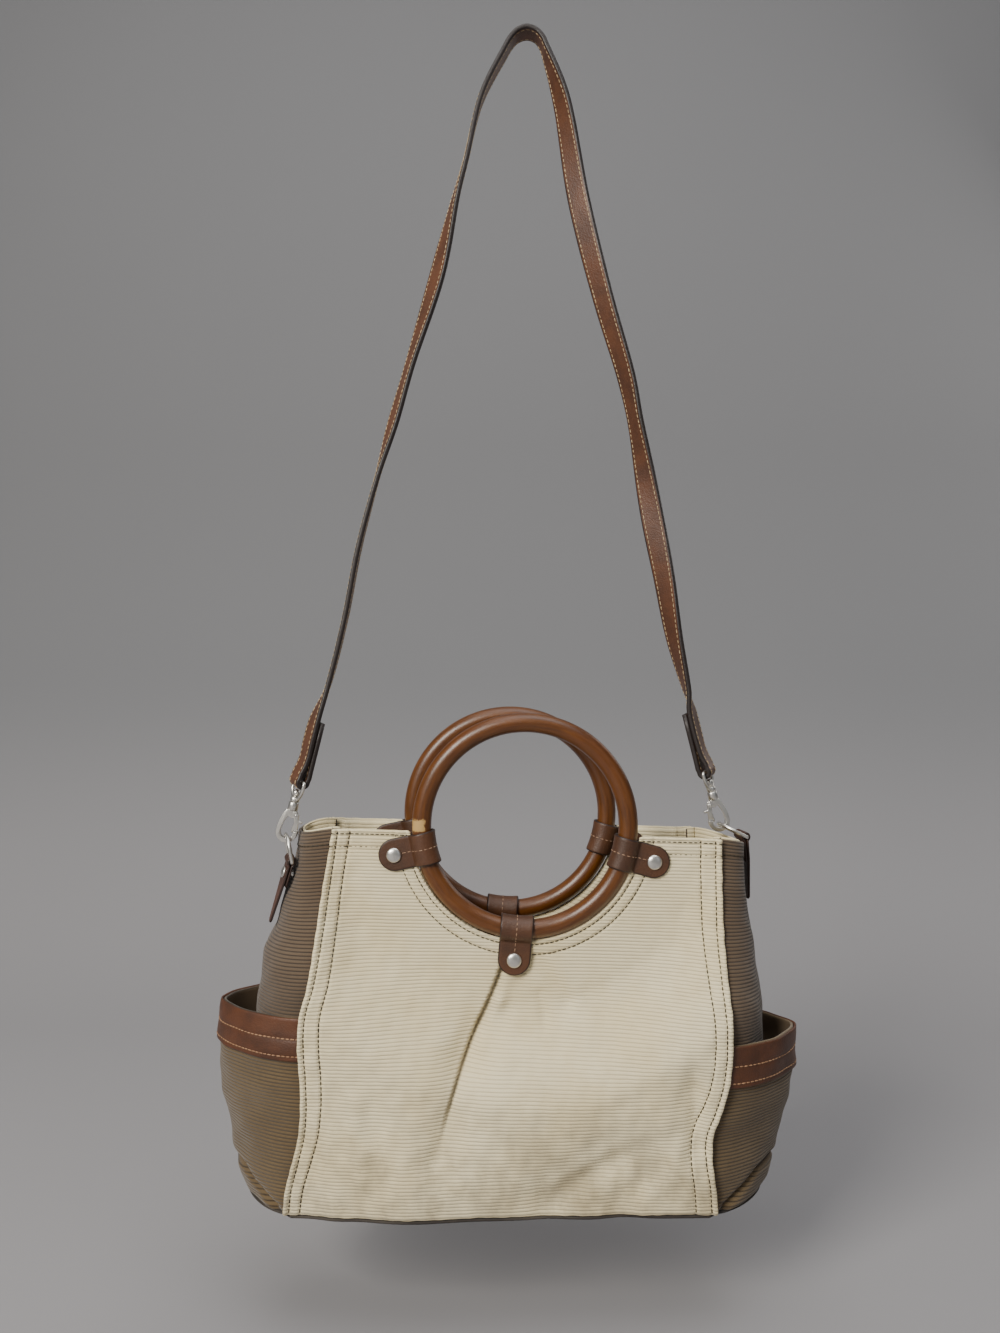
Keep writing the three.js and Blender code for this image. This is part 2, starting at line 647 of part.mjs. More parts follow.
function hookShape() {
  const shape = new THREE.Shape();
  shape.moveTo(bowlOut * Math.cos(noseAngle), bowlOut * Math.sin(noseAngle));
  shape.absarc(0, 0, bowlOut, noseAngle, Math.PI, true);
  shape.quadraticCurveTo(-bowlOut, hookBarrelFoot * 0.55, -hookBarrel / 2, hookBarrelFoot + edge);
  shape.lineTo(hookBarrel / 2, hookBarrelFoot + edge);
  shape.lineTo(gatePivotSide + hookMetal * 0.7, gatePivotHeight);
  shape.lineTo(gatePivotSide + hookMetal * 0.6, gatePivotHeight - hookMetal * 0.7);
  shape.lineTo(gatePivotSide - hookMetal * 0.6, gatePivotHeight - hookMetal * 0.7);
  shape.lineTo(-hookBarrel * 0.2, gatePivotHeight - hookMetal * 0.4);
  shape.quadraticCurveTo(-bowlIn, hookBarrelFoot * 0.4, -bowlIn, 0);
  shape.absarc(0, 0, bowlIn, Math.PI, noseAngle, false);
  return shape;
}

function hookBody() {
  const flat = plate(hookShape(), hookThickness);
  const slotWidth = gateThickness + 2 * gap;
  const slot = new THREE.BoxGeometry(hookBarrel, slotWidth, hookMetal * 1.8)
    .translate(gatePivotSide + hookBarrel / 2 - hookMetal * 0.8, 0, gatePivotHeight);
  const hole = rod(gatePin + 2 * gap, hookThickness * 2, 8).translate(gatePivotSide, 0, gatePivotHeight);
  const ball = hookBall / 2;
  const collarTop = hookBarrelTop + gap + eyeCollarHeight + gap;
  const profile = [
    [0, hookBarrelFoot], [hookBarrel / 2, hookBarrelFoot], [hookBarrel / 2, hookBarrelTop - edge],
    [hookBarrel / 2 - edge, hookBarrelTop], [hookPost / 2, hookBarrelTop], [hookPost / 2, collarTop],
    [ball * 0.8, collarTop + ball * 0.3], [ball, collarTop + ball], [ball * 0.7, collarTop + ball * 1.75],
    [0, collarTop + ball * 2],
  ].map(([radius, height]) => new THREE.Vector2(radius, height));
  const barrel = new THREE.LatheGeometry(profile, 8).rotateX(Math.PI / 2);
  return join(cut(flat, slot, hole), barrel);
}

function gateBody() {
  const [x, z, metal] = [gatePivotSide, gatePivotHeight, hookMetal];
  const noseTop = bowlOut * Math.sin(noseAngle) + gap;
  const lip = bowlIn - 1.5 * gap;
  const outline = new THREE.Shape([
    [x - metal * 0.5, z + metal * 0.4], [x + metal * 0.45, z + metal * 0.45],
    [x + metal * 0.65, z - metal * 0.1], [x + metal * 0.85, z * 0.73],
    [x + metal * 1.8, z * 0.72], [x + metal * 1.85, z * 0.6], [x + metal * 0.95, z * 0.58],
    [bowlOut * 0.92, noseTop], [lip + gap / 3, noseTop], [lip, metal * 0.12],
    [lip - metal * 0.5, metal * 0.12], [lip - metal * 0.45, noseTop + metal * 0.4],
    [x - metal * 0.1, z * 0.6], [x - metal * 0.55, z - metal * 0.4],
  ].map(([u, v]) => new THREE.Vector2(u, v)));
  return join(plate(outline, gateThickness), rod(gatePin, hookThickness, 8).translate(x, 0, z));
}

// The swivel eye: a wire loop for the strap, with a bored collar at the foot of its bow
const barHeight = hookBarrelTop + gap + eyeCollarHeight / 2 + eyeLength;
function eyeBody() {
  const loop = wireLoop(eyeInside, eyeLength, eyeWire).rotateX(Math.PI);
  const collar = rod(eyeCollar, eyeCollarHeight, 8).rotateX(Math.PI / 2).translate(0, 0, -eyeLength);
  const bore = rod(hookPost + 2 * gap, eyeLength, 8).rotateX(Math.PI / 2).translate(0, 0, -eyeLength);
  return cut(join(loop, collar), bore);
}

// Each anchor's leather, rivet and D-ring, and the snap hook that hangs in it. An anchor returns
// the middle of its eye's bar, where the strap ends.
function hang(name) {
  const { side, lean } = anchors[name];
  const anchor = anchorPlace(anchors[name]);
  const matrix = anchorFrame(anchor);
  const options = {
    inside: anchorInside, thickness: anchorThickness, spread: anchorSpread,
    front: anchorLength, back: anchorRivetDrop + anchorRivetCap, width: anchorWidth,
  };
  const strip = leaf(options, true, anchorRivetDrop, rivetHole).applyMatrix4(matrix);
  piece(`${name}_anchor`, strip, colours.tab, 0.6);
  const outer = anchorSpread + anchorThickness + gap;
  const inner = Math.max(anchor.cloth, anchorOut) + canvas + gap + facingThickness + 2 * gap;
  const stud = rivet(anchorRivetCap, -outer, inner).translate(anchorRivetDrop, 0, 0).applyMatrix4(matrix);
  piece(`${name}_anchor_rivet`, stud, colours.nickel, 0.3, 1);

  const bar = anchor.along;
  const rise = new THREE.Vector3(-side * Math.sin(radians(lean)), 0, Math.cos(radians(lean)));
  const normal = new THREE.Vector3().crossVectors(rise, bar).normalize();
  const ringFrame = new THREE.Matrix4().makeBasis(bar, normal, rise).setPosition(anchor.centre);
  const dRing = wireLoop(dRingInside, dRingLength, dRingWire).applyMatrix4(ringFrame);
  piece(`${name}_d_ring`, dRing, colours.nickel, 0.3, 1);

  const wireTop = anchor.centre.clone().addScaledVector(rise, dRingLength);
  const turn = side < 0 ? 0 : Math.PI;
  const upright = new THREE.Vector3(-side * Math.sin(radians(hookTilt)), 0, Math.cos(radians(hookTilt)));
  const centre = wireTop.addScaledVector(upright, bowlIn - dRingWire / 2 - seatGap);
  const place = (mesh) => {
    mesh.rotation.set(0, -side * radians(hookTilt), turn, 'YXZ');
    mesh.position.copy(centre);
    return mesh;
  };
  place(piece(`${name}_snap_hook`, hookBody(), colours.nickel, 0.3, 1));
  place(piece(`${name}_snap_gate`, gateBody(), colours.nickel, 0.3, 1));
  const endTurn = radians(strapEndTurn[name]);
  const eye = eyeBody().rotateZ(-Math.PI / 2 + endTurn).translate(0, 0, barHeight);
  const eyeMesh = piece(`${name}_snap_eye`, eye, colours.nickel, 0.3, 1);
  eyeMesh.rotation.set(0, -side * radians(hookTilt), 0, 'YXZ');
  eyeMesh.position.copy(centre);
  return { end: centre.clone().addScaledVector(upright, barHeight), upright };
}
const ends = { left: hang('left'), right: hang('right') };

// The strap: a flat strip over the top and down both branches, folded round each eye's bar
const strapTop = ends.left.end.z + strapDrop;
const strapMiddle = strapTop + strapThickness / 2;

function strapRoute() {
  const branch = (name, table) => {
    const { end, upright } = ends[name];
    const height = (drop) => strapMiddle - drop * (strapTop - end.z);
    const way = table.map(({ drop, side, turn }) => ({
      place: new THREE.Vector3(side * end.x, side ** 2 * end.y, height(drop)), turn,
    }));
    const fold = [strapFold, strapThickness].map((rise) => ({
      place: end.clone().addScaledVector(upright, rise), turn: strapEndTurn[name],
    }));
    return [...way, ...fold];
  };
  const top = { place: new THREE.Vector3(0, 0, strapMiddle), turn: 0 };
  return [...branch('left', strapLeft).reverse(), top, ...branch('right', strapRight)];
}

function strapBody() {
  const route = strapRoute();
  const curve = new THREE.CatmullRomCurve3(route.map(({ place }) => place), false, 'centripetal');
  const count = route.length - 1;
  const steps = span(strapSteps * 2);
  const turnTable = route.map(({ turn }, i) => ({ at: i / count, turn }));
  const corner = (at, wide, thick) => {
    const along = curve.getTangent(at);
    const turn = radians(read(turnTable, 'at', 'turn', at));
    const across = new THREE.Vector3(Math.sin(turn), -Math.cos(turn), 0);
    across.addScaledVector(along, -across.dot(along)).normalize();
    const face = new THREE.Vector3().crossVectors(along, across);
    return curve.getPoint(at).addScaledVector(across, wide * strapWidth / 2)
      .addScaledVector(face, thick * strapThickness / 2);
  };
  const main = sheet(steps, [-1, 1], (at, wide) => corner(at, wide, 1), (at, wide) => corner(at, wide, -1));
  const folds = ['left', 'right'].map((name) => strapLoop(name));
  return join(main, ...folds);
}

// The folded end: a loop round the eye's bar and a second layer sewn back on the strap's inside
function strapLoop(name) {
  const { end, upright } = ends[name];
  const inside = eyeWire / 2 + gap;
  const outside = inside + strapThickness;
  const side = name === 'left' ? 1 : -1;
  const [near, far] = [-strapThickness / 2, strapThickness * 1.5];
  const outline = new THREE.Shape();
  outline.moveTo(near, strapFold);
  outline.lineTo(near, 2 * outside);
  outline.absarc(0, 0, outside, Math.PI, Math.PI * 2, false);
  outline.lineTo(far, 2 * outside);
  outline.lineTo(far, strapFold - strapThickness);
  outline.lineTo(far - strapThickness, strapFold);
  const eyeHole = new THREE.Path();
  eyeHole.absarc(0, 0, inside, 0, Math.PI * 2, true);
  outline.holes.push(eyeHole);
  const loop = plate(outline, strapWidth);
  const turn = radians(strapEndTurn[name]);
  const width = new THREE.Vector3(Math.sin(turn), -Math.cos(turn), 0);
  width.addScaledVector(upright, -width.dot(upright)).normalize();
  const across = new THREE.Vector3().crossVectors(width, upright).multiplyScalar(-side);
  const normal = new THREE.Vector3().crossVectors(upright, across);
  return loop.applyMatrix4(new THREE.Matrix4().makeBasis(across, normal, upright).setPosition(end));
}
piece('strap', strapBody(), colours.strap, 0.6);

// The whole bag, hung with the underside of the strap's top at the origin
const bag = new THREE.Group();
bag.add(...pieces);
bag.position.z = -strapTop;
export default bag;
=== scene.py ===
# A ribbed canvas handbag with wooden ring handles, hanging by its long leather shoulder strap.
# Everything is in metres, +Z up and the front towards -Y. The origin is the underside of the
# strap's top. Heights on the bag are counted from the foot of its walls.
import json
import math

import bmesh
import bpy
import numpy as np
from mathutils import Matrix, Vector


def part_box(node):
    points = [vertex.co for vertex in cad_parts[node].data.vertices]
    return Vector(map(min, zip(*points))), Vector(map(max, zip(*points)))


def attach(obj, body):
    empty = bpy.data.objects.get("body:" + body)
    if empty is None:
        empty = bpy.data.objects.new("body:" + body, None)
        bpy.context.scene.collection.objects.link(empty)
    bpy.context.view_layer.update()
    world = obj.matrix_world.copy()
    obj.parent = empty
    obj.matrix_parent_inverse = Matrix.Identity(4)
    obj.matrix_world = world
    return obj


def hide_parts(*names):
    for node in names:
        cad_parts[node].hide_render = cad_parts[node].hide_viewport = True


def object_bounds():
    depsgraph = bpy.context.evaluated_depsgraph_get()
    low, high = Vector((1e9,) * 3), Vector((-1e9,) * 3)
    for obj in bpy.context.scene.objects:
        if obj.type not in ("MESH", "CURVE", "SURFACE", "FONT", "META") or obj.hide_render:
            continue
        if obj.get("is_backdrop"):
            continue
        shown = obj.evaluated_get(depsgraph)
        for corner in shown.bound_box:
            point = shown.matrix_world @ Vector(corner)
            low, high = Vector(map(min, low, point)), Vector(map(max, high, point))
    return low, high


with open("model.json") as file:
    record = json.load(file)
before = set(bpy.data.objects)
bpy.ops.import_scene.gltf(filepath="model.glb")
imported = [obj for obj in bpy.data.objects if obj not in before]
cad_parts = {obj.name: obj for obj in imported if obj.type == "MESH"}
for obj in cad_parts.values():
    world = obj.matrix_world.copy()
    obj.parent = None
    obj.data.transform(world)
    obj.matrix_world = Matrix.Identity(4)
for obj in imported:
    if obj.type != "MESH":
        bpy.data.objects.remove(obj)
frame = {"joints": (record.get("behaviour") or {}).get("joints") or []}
cad_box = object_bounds()
scene = bpy.context.scene

# Camera
# It stands level in front of the bag, a little left of the strap's top, at about half the height of
# the whole. The lens gives the photograph's own angle on a sensor that spans the taller side.
photo_height_px = 1333
focal_px = 1070
sensor_mm = 36
camera_place = (-0.0188, -0.745, -0.4399)


def put(name, data):
    """An object with that data, in the scene and at the origin."""
    item = bpy.data.objects.new(name, data)
    scene.collection.objects.link(item)
    return item


lens = bpy.data.cameras.new("camera")
lens.sensor_width = sensor_mm
lens.lens = sensor_mm * focal_px / photo_height_px
camera = put("camera", lens)
camera.location = camera_place
camera.rotation_euler = (math.pi / 2, 0, 0)
scene.camera = camera

# Materials
# Finish builds one Principled material. Its maths is written as sums and products of Wires.


class Wire:
    """A socket of a material's tree. Sums and products of wires add Math nodes."""

    def __init__(self, finish, socket):
        self.finish = finish
        self.socket = socket

    def math(self, operation, *others):
        sockets = {i: value for i, value in enumerate((self, *others))}
        return self.finish.node("ShaderNodeMath", sockets, operation=operation)

    def __add__(self, other):
        return self.math("ADD", other)

    def __sub__(self, other):
        return self.math("SUBTRACT", other)

    def __rsub__(self, other):
        return self.finish.node("ShaderNodeMath", {0: other, 1: self}, operation="SUBTRACT")

    def __mul__(self, other):
        return self.math("MULTIPLY", other)

    def __truediv__(self, other):
        return self.math("DIVIDE", other)

    def __pow__(self, other):
        return self.math("POWER", other)

    __radd__ = __add__
    __rmul__ = __mul__

    def limited(self, low, high):
        """0 below low, 1 above high and smooth between them."""
        sockets = {"Value": self, "From Min": low, "From Max": high}
        return self.finish.node("ShaderNodeMapRange", sockets, interpolation_type="SMOOTHSTEP")


class Finish:
    """A material in the making: one Principled shader and the nodes that feed it."""

    def __init__(self, name, **shader_values):
        self.material = bpy.data.materials.new(name)
        self.material.use_nodes = True
        self.tree = self.material.node_tree
        self.shader = self.tree.nodes["Principled BSDF"]
        for label, value in shader_values.items():
            self.shader.inputs[label.replace("_", " ").title()].default_value = value

    def node(self, kind, sockets=(), output=0, **settings):
        """Adds a node: its settings first, then the values or links of its sockets."""
        node = self.tree.nodes.new(kind)
        for label, value in settings.items():
            setattr(node, label, value)
        for label, value in dict(sockets).items():
            socket = node.inputs[label]
            if isinstance(value, Wire):
                self.tree.links.new(value.socket, socket)
            else:
                socket.default_value = value
        return Wire(self, node.outputs[output])

    def object_place(self):
        return self.node("ShaderNodeTexCoord", output="Object")

    def cloth_place(self):
        """The piece's own UV map, whose unit is a metre of cloth or leather."""
        return self.node("ShaderNodeUVMap", uv_map="cloth")

    def parts(self, vector):
        """The X, Y and Z of a vector."""
        split = self.node("ShaderNodeSeparateXYZ", {"Vector": vector}).socket.node
        return [Wire(self, output) for output in split.outputs]

    def vector(self, x=0.0, y=0.0, z=0.0):
        return self.node("ShaderNodeCombineXYZ", {"X": x, "Y": y, "Z": z})

    def noise(self, place, scale, detail=3.0, roughness=0.55):
        sockets = {"Vector": place, "Scale": scale, "Detail": detail, "Roughness": roughness}
        return self.node("ShaderNodeTexNoise", sockets)

    def mix(self, factor, first, second, blend="MIX"):
        """Two colours mixed: first where factor is 0, second where it is 1."""
        sockets = {0: factor, 6: first, 7: second}
        return self.node("ShaderNodeMix", sockets, output=2, data_type="RGBA", blend_type=blend)

    def finish(self, colour=None, roughness=None, height=None, depth=0.001, metallic=None):
        """Feeds the shader. Height is a relief from 0 to 1 that is depth metres deep."""
        feeds = {"Base Color": colour, "Roughness": roughness, "Metallic": metallic}
        for label, wire in feeds.items():
            if wire is not None:
                self.tree.links.new(wire.socket, self.shader.inputs[label])
        if height is not None:
            bump = self.node("ShaderNodeBump", {"Height": height, "Distance": depth, "Strength": 1.0})
            self.tree.links.new(bump.socket, self.shader.inputs["Normal"])
        return self.material


def srgb(red, green, blue):
    """A colour, given from 0 to 255, as the shader's linear values."""
    values = [c / 255 for c in (red, green, blue)]
    return (*[c / 12.92 if c <= 0.04045 else ((c + 0.055) / 1.055) ** 2.4 for c in values], 1)


# Floor, backdrop and light
# A pale floor lies a little below the hanging bag and curves up into a plain wall behind it. The main
# soft lamp stands in front on the left. Weaker ones stand in front and behind on the right, hang
# overhead and light the wall.
floor_gap = 0.085
floor_height = cad_box[0].z - floor_gap
floor_half_width = 3.2
floor_front = -2.4
bend_start = 0.55
bend_radius = 0.9
bend_steps = 24
wall_top = 2.2
wall_fade = (0.02, 0.45)
sky_colour = (0.55, 0.57, 0.6, 1)
sky_strength = 0.21


def backdrop_profile():
    """The floor's side view: flat, then a quarter circle, then a wall."""
    bend = [
        (
            bend_start + bend_radius * math.sin(angle),
            floor_height + bend_radius * (1 - math.cos(angle)),
        )
        for angle in np.linspace(0, math.pi / 2, bend_steps)
    ]
    return [(floor_front, floor_height), *bend, (bend[-1][0], wall_top)]


def smooth_piece(name, points, faces):
    """An object with a smooth mesh of those points and faces."""
    mesh = bpy.data.meshes.new(name)
    mesh.from_pydata(points, [], faces)
    mesh.shade_smooth()
    return put(name, mesh)


profile = backdrop_profile()
floor = smooth_piece(
    "floor",
    [(side * floor_half_width, y, z) for y, z in profile for side in (-1, 1)],
    [(2 * i, 2 * i + 1, 2 * i + 3, 2 * i + 2) for i in range(len(profile) - 1)],
)
floor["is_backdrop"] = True

paint = Finish("pale_floor", roughness=0.9)
paint_place = paint.object_place()
risen = paint.parts(paint_place)[2].limited(*(floor_height + rise for rise in wall_fade))
cloudy = paint.noise(paint_place, 1.6, 2.0)
paint_tone = paint.mix(risen, srgb(158, 156, 158), srgb(134, 134, 136))
paint_tone = paint.mix(cloudy * 0.12, paint_tone, srgb(110, 110, 114))
floor.data.materials.append(paint.finish(paint_tone))


def soft_lamp(name, place, aim, size, power, colour):
    """A square lamp that faces a point of the bag."""
    data = bpy.data.lights.new(name, "AREA")
    data.shape = "SQUARE"
    data.size = size
    data.energy = power
    data.color = colour
    lamp = put(name, data)
    lamp.location = place
    lamp.rotation_euler = (Vector(aim) - Vector(place)).to_track_quat("-Z", "Y").to_euler()


soft_lamp("key_lamp", (-1.25, -1.75, 0.60), (0, 0, -0.60), 0.9, 65, (1.0, 0.96, 0.89))
soft_lamp("fill_lamp", (1.3, -1.9, 0.1), (0, 0, -0.55), 1.4, 2, (0.93, 0.96, 1.0))
soft_lamp("top_lamp", (0.0, -0.2, 1.3), (0, 0, -0.6), 1.8, 14, (1.0, 0.99, 0.97))
soft_lamp("rear_lamp", (1.5, 1.0, 0.3), (0, 0, -0.6), 0.9, 5, (1.0, 0.97, 0.93))
soft_lamp("wall_lamp", (0.3, -0.6, 1.4), (0.2, 1.4, -0.3), 1.6, 12, (0.97, 0.98, 1.0))

world = bpy.data.worlds.new("studio")
world.use_nodes = True
sky = world.node_tree.nodes["Background"].inputs
sky["Color"].default_value = sky_colour
sky["Strength"].default_value = sky_strength
scene.world = world

# Front and back panels
# Each is one cut of ribbed cream canvas with a round neckline for its ring, hemmed at the top and
# at the neckline, and sewn to the gussets under a doubled edge strip. The front has a slack pleat.
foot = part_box("front_panel")[0].z
panel_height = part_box("front_panel")[1].z - foot
panel_width = 0.280
bag_depth = 0.104
canvas = 0.002
top_fall = 0.007
belly = 0.004
fold_depth = 0.008
fold_width = 0.012
ring_diameter = 0.152
ring_tube = 0.013
ring_spacing = 0.050
ring_radius = (ring_diameter - ring_tube) / 2
neckline_gap = 0.0004
tab_reach = 0.0245
flat_margin = 0.014
facing_height = 0.024
back_ring_left = 0.0096

# Side seams as shares of the panel's width from the line below the strap's top.
seams = [
    {"height": 0.000, "left": -0.573, "right": 0.440, "swell": 0.90, "belly": 0.90, "back": 0.0},
    {"height": 0.070, "left": -0.565, "right": 0.435, "swell": 0.97, "belly": 1.00, "back": 0.0},
    {"height": 0.145, "left": -0.548, "right": 0.426, "swell": 1.00, "belly": 1.00, "back": 0.0},
    {"height": 0.215, "left": -0.534, "right": 0.428, "swell": 1.00, "belly": 1.00, "back": 0.0},
    {"height": 0.290, "left": -0.530, "right": 0.450, "swell": 1.00, "belly": 1.00, "back": 0.1},
    {"height": 0.360, "left": -0.532, "right": 0.466, "swell": 1.00, "belly": 1.00, "back": 0.2},
    {"height": 0.440, "left": -0.537, "right": 0.473, "swell": 1.00, "belly": 0.90, "back": 0.3},
    {"height": 0.520, "left": -0.534, "right": 0.473, "swell": 0.98, "belly": 0.80, "back": 0.4},
    {"height": 0.600, "left": -0.516, "right": 0.468, "swell": 0.93, "belly": 0.60, "back": 0.5},
    {"height": 0.735, "left": -0.500, "right": 0.463, "swell": 0.82, "belly": 0.30, "back": 0.65},
    {"height": 0.830, "left": -0.491, "right": 0.464, "swell": 0.70, "belly": 0.10, "back": 0.8},
    {"height": 1.000, "left": -0.470, "right": 0.464, "swell": 0.50, "belly": 0.00, "back": 1.0},
]

# Folds run from one point to another, x as a share of the width and h of the height.
front_folds = [
    {"x1": -0.065, "h1": 0.61, "x2": -0.150, "h2": 0.395, "depth": 0.70, "width": 1.0},
    {"x1": -0.150, "h1": 0.395, "x2": -0.205, "h2": 0.16, "depth": 0.55, "width": 1.2},
    {"x1": 0.031, "h1": 0.64, "x2": 0.122, "h2": 0.50, "depth": -0.35, "width": 1.2},
    {"x1": 0.049, "h1": 0.06, "x2": 0.179, "h2": 0.155, "depth": 0.75, "width": 1.3},
    {"x1": 0.290, "h1": 0.13, "x2": 0.222, "h2": 0.03, "depth": 0.50, "width": 1.2},
    {"x1": 0.374, "h1": 0.33, "x2": 0.390, "h2": 0.17, "depth": 0.45, "width": 1.0},
    {"x1": -0.405, "h1": 0.82, "x2": -0.405, "h2": 0.66, "depth": 0.35, "width": 1.5},
    {"x1": -0.450, "h1": 0.22, "x2": -0.450, "h2": 0.00, "depth": -0.30, "width": 1.0},
    {"x1": -0.300, "h1": 0.10, "x2": -0.290, "h2": 0.00, "depth": -0.75, "width": 3.0},
]
back_folds = [
    {"x1": 0.020, "h1": 0.60, "x2": 0.090, "h2": 0.22, "depth": 0.60, "width": 1.2},
    {"x1": -0.130, "h1": 0.58, "x2": -0.220, "h2": 0.36, "depth": 0.40, "width": 1.4},
    {"x1": -0.300, "h1": 0.20, "x2": -0.120, "h2": 0.05, "depth": 0.60, "width": 1.6},
]

# The pleat is a step in the cloth along this line: sharp on its left, and fading out on its right.
pleat_line = [
    {"height": 0.160, "x": -0.215},
    {"height": 0.315, "x": -0.180},
    {"height": 0.435, "x": -0.142},
    {"height": 0.545, "x": -0.096},
    {"height": 0.665, "x": -0.056},
]
pleat_depth = 0.0058
pleat_fade = 0.015
pleat_edge = 0.0009

# Fine creases, as shares of their own smaller depth and width; a negative depth is a ridge.
crease_depth = 0.0020
crease_width = 0.0040
front_creases = [
    {"x1": -0.180, "h1": 0.315, "x2": -0.214, "h2": 0.165, "depth": 0.50, "width": 1.30},
    {"x1": -0.036, "h1": 0.650, "x2": -0.068, "h2": 0.540, "depth": -1.00, "width": 1.2},
    {"x1": -0.068, "h1": 0.540, "x2": -0.116, "h2": 0.425, "depth": -1.10, "width": 1.2},
    {"x1": -0.116, "h1": 0.425, "x2": -0.154, "h2": 0.300, "depth": -0.80, "width": 1.4},
    {"x1": 0.030, "h1": 0.690, "x2": 0.124, "h2": 0.545, "depth": -0.70, "width": 1.5},
    {"x1": 0.016, "h1": 0.680, "x2": 0.100, "h2": 0.545, "depth": 0.80, "width": 1.2},
    {"x1": 0.030, "h1": 0.560, "x2": 0.042, "h2": 0.480, "depth": 0.70, "width": 0.9},
    {"x1": 0.062, "h1": 0.092, "x2": 0.180, "h2": 0.178, "depth": -1.00, "width": 1.6},
    {"x1": 0.080, "h1": 0.070, "x2": 0.200, "h2": 0.150, "depth": 0.70, "width": 1.6},
    {"x1": 0.350, "h1": 0.165, "x2": 0.250, "h2": 0.015, "depth": -1.10, "width": 2.2},
    {"x1": 0.230, "h1": 0.160, "x2": 0.262, "h2": 0.190, "depth": 1.20, "width": 2.0},
    {"x1": 0.385, "h1": 0.380, "x2": 0.392, "h2": 0.180, "depth": 1.10, "width": 1.3},
    {"x1": -0.400, "h1": 0.300, "x2": -0.385, "h2": 0.120, "depth": -0.90, "width": 1.8},
    {"x1": -0.360, "h1": 0.260, "x2": -0.330, "h2": 0.120, "depth": 0.60, "width": 2.0},
    {"x1": 0.180, "h1": 0.420, "x2": 0.280, "h2": 0.330, "depth": 0.35, "width": 2.4},
    {"x1": -0.400, "h1": 0.760, "x2": -0.330, "h2": 0.700, "depth": 0.45, "width": 2.4},
    {"x1": -0.020, "h1": 0.380, "x2": 0.020, "h2": 0.260, "depth": 0.30, "width": 2.2},
]
back_creases = [
    {"x1": 0.010, "h1": 0.640, "x2": 0.060, "h2": 0.420, "depth": 0.90, "width": 1.1},
    {"x1": 0.028, "h1": 0.640, "x2": 0.080, "h2": 0.420, "depth": -0.60, "width": 1.4},
    {"x1": -0.330, "h1": 0.260, "x2": -0.180, "h2": 0.100, "depth": 0.50, "width": 1.8},
    {"x1": 0.230, "h1": 0.300, "x2": 0.330, "h2": 0.140, "depth": 0.45, "width": 1.8},
]


def read(table, column, at, key="height"):
    """A column of a table at any place, on the same smooth curve as the CAD walls."""
    keys = np.array([row[key] for row in table])
    values = np.array([row[column] for row in table])
    slopes = np.gradient(values, keys)
    slopes[1:-1] = (values[2:] - values[:-2]) / (keys[2:] - keys[:-2])
    at = np.clip(at, keys[0], keys[-1])
    i = np.clip(np.searchsorted(keys, at, side="right") - 1, 0, len(keys) - 2)
    width = keys[i + 1] - keys[i]
    t = (at - keys[i]) / width
    return (
        values[i] * (2 * t**3 - 3 * t**2 + 1)
        + slopes[i] * width * (t**3 - 2 * t**2 + t)
        + values[i + 1] * (3 * t**2 - 2 * t**3)
        + slopes[i + 1] * width * (t**3 - t**2)
    )


def smooth(value, low, high):
    """0 below low, 1 above high and smooth between them."""
    t = np.clip((value - low) / (high - low), 0, 1)
    return t * t * (3 - 2 * t)


def hump(distance, width):
    """A bell that is 1 at no distance and dies away within about twice the width."""
    return np.exp(-((distance / width) ** 2))


def ring_centre(face):
    """The middle of a ring, with its height from the foot: face is -1 in front and 1 behind."""
    node = "front_ring" if face < 0 else "back_ring"
    low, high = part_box(node)
    return (low.x + high.x) / 2, (low.z + high.z) / 2 - foot


def seam_x(side, face, h):
    lean = back_ring_left * read(seams, "back", h) if face > 0 else 0
    return panel_width * read(seams, "left" if side < 0 else "right", h) - lean


def fold_at(folds, x, h, depth, width):
    """How deep a list of folds lies at a point of the panel."""
    total = 0
    z = h * panel_height
    for fold in folds:
        start_x, start_z = fold["x1"] * panel_width, fold["h1"] * panel_height
        way_x, way_z = fold["x2"] * panel_width - start_x, fold["h2"] * panel_height - start_z
        along = ((x - start_x) * way_x + (z - start_z) * way_z) / (way_x**2 + way_z**2)
        along = np.clip(along, 0, 1)
        away = np.hypot(x - start_x - along * way_x, z - start_z - along * way_z)
        total = total + fold["depth"] * depth * hump(away, fold["width"] * width)
    return total


def panel_out(face, x, h):
    """How far the panel's outer face stands from the middle of the bag."""
    centre_x, centre_z = ring_centre(face)
    radius = np.hypot(x - centre_x, h * panel_height - centre_z)
    flat = ring_diameter / 2 + tab_reach + flat_margin
    free = smooth(radius, flat, flat + bag_depth * 0.65)
    left, right = seam_x(-1, face, h), seam_x(1, face, h)
    across = np.clip((x - left) / (right - left), 0, 1)
    swell = (bag_depth - ring_spacing) / 2 * read(seams, "swell", h)
    round_out = belly * read(seams, "belly", h) * np.sin(np.pi * across) ** 1.5
    loose = smooth(radius, flat, flat + fold_width * 2)
    folds = fold_at(front_folds if face < 0 else back_folds, x, h, fold_depth, fold_width)
    return ring_spacing / 2 + canvas / 2 + free * (swell + round_out) - loose * folds


# Stitch lines run beside each seam, hem and neckline, at these distances from the edge.
seam_lines = (0.0042, 0.0128)
hem_lines = (0.0026, 0.0112)
neck_lines = (0.0036, 0.0106)
seam_wander = 0.0016
edge_rise = 0.0007
edge_bead = 0.0009
stitch_pull = 0.0008
edge_pucker = 0.00016
cloth_pucker = 0.00022


def inner_seam(h, side):
    """The inner line of the edge strip wanders a little, as it was sewn."""
    return seam_lines[1] + seam_wander * np.sin(7.0 * h + 1.3 * side) * (1 - 0.4 * h)


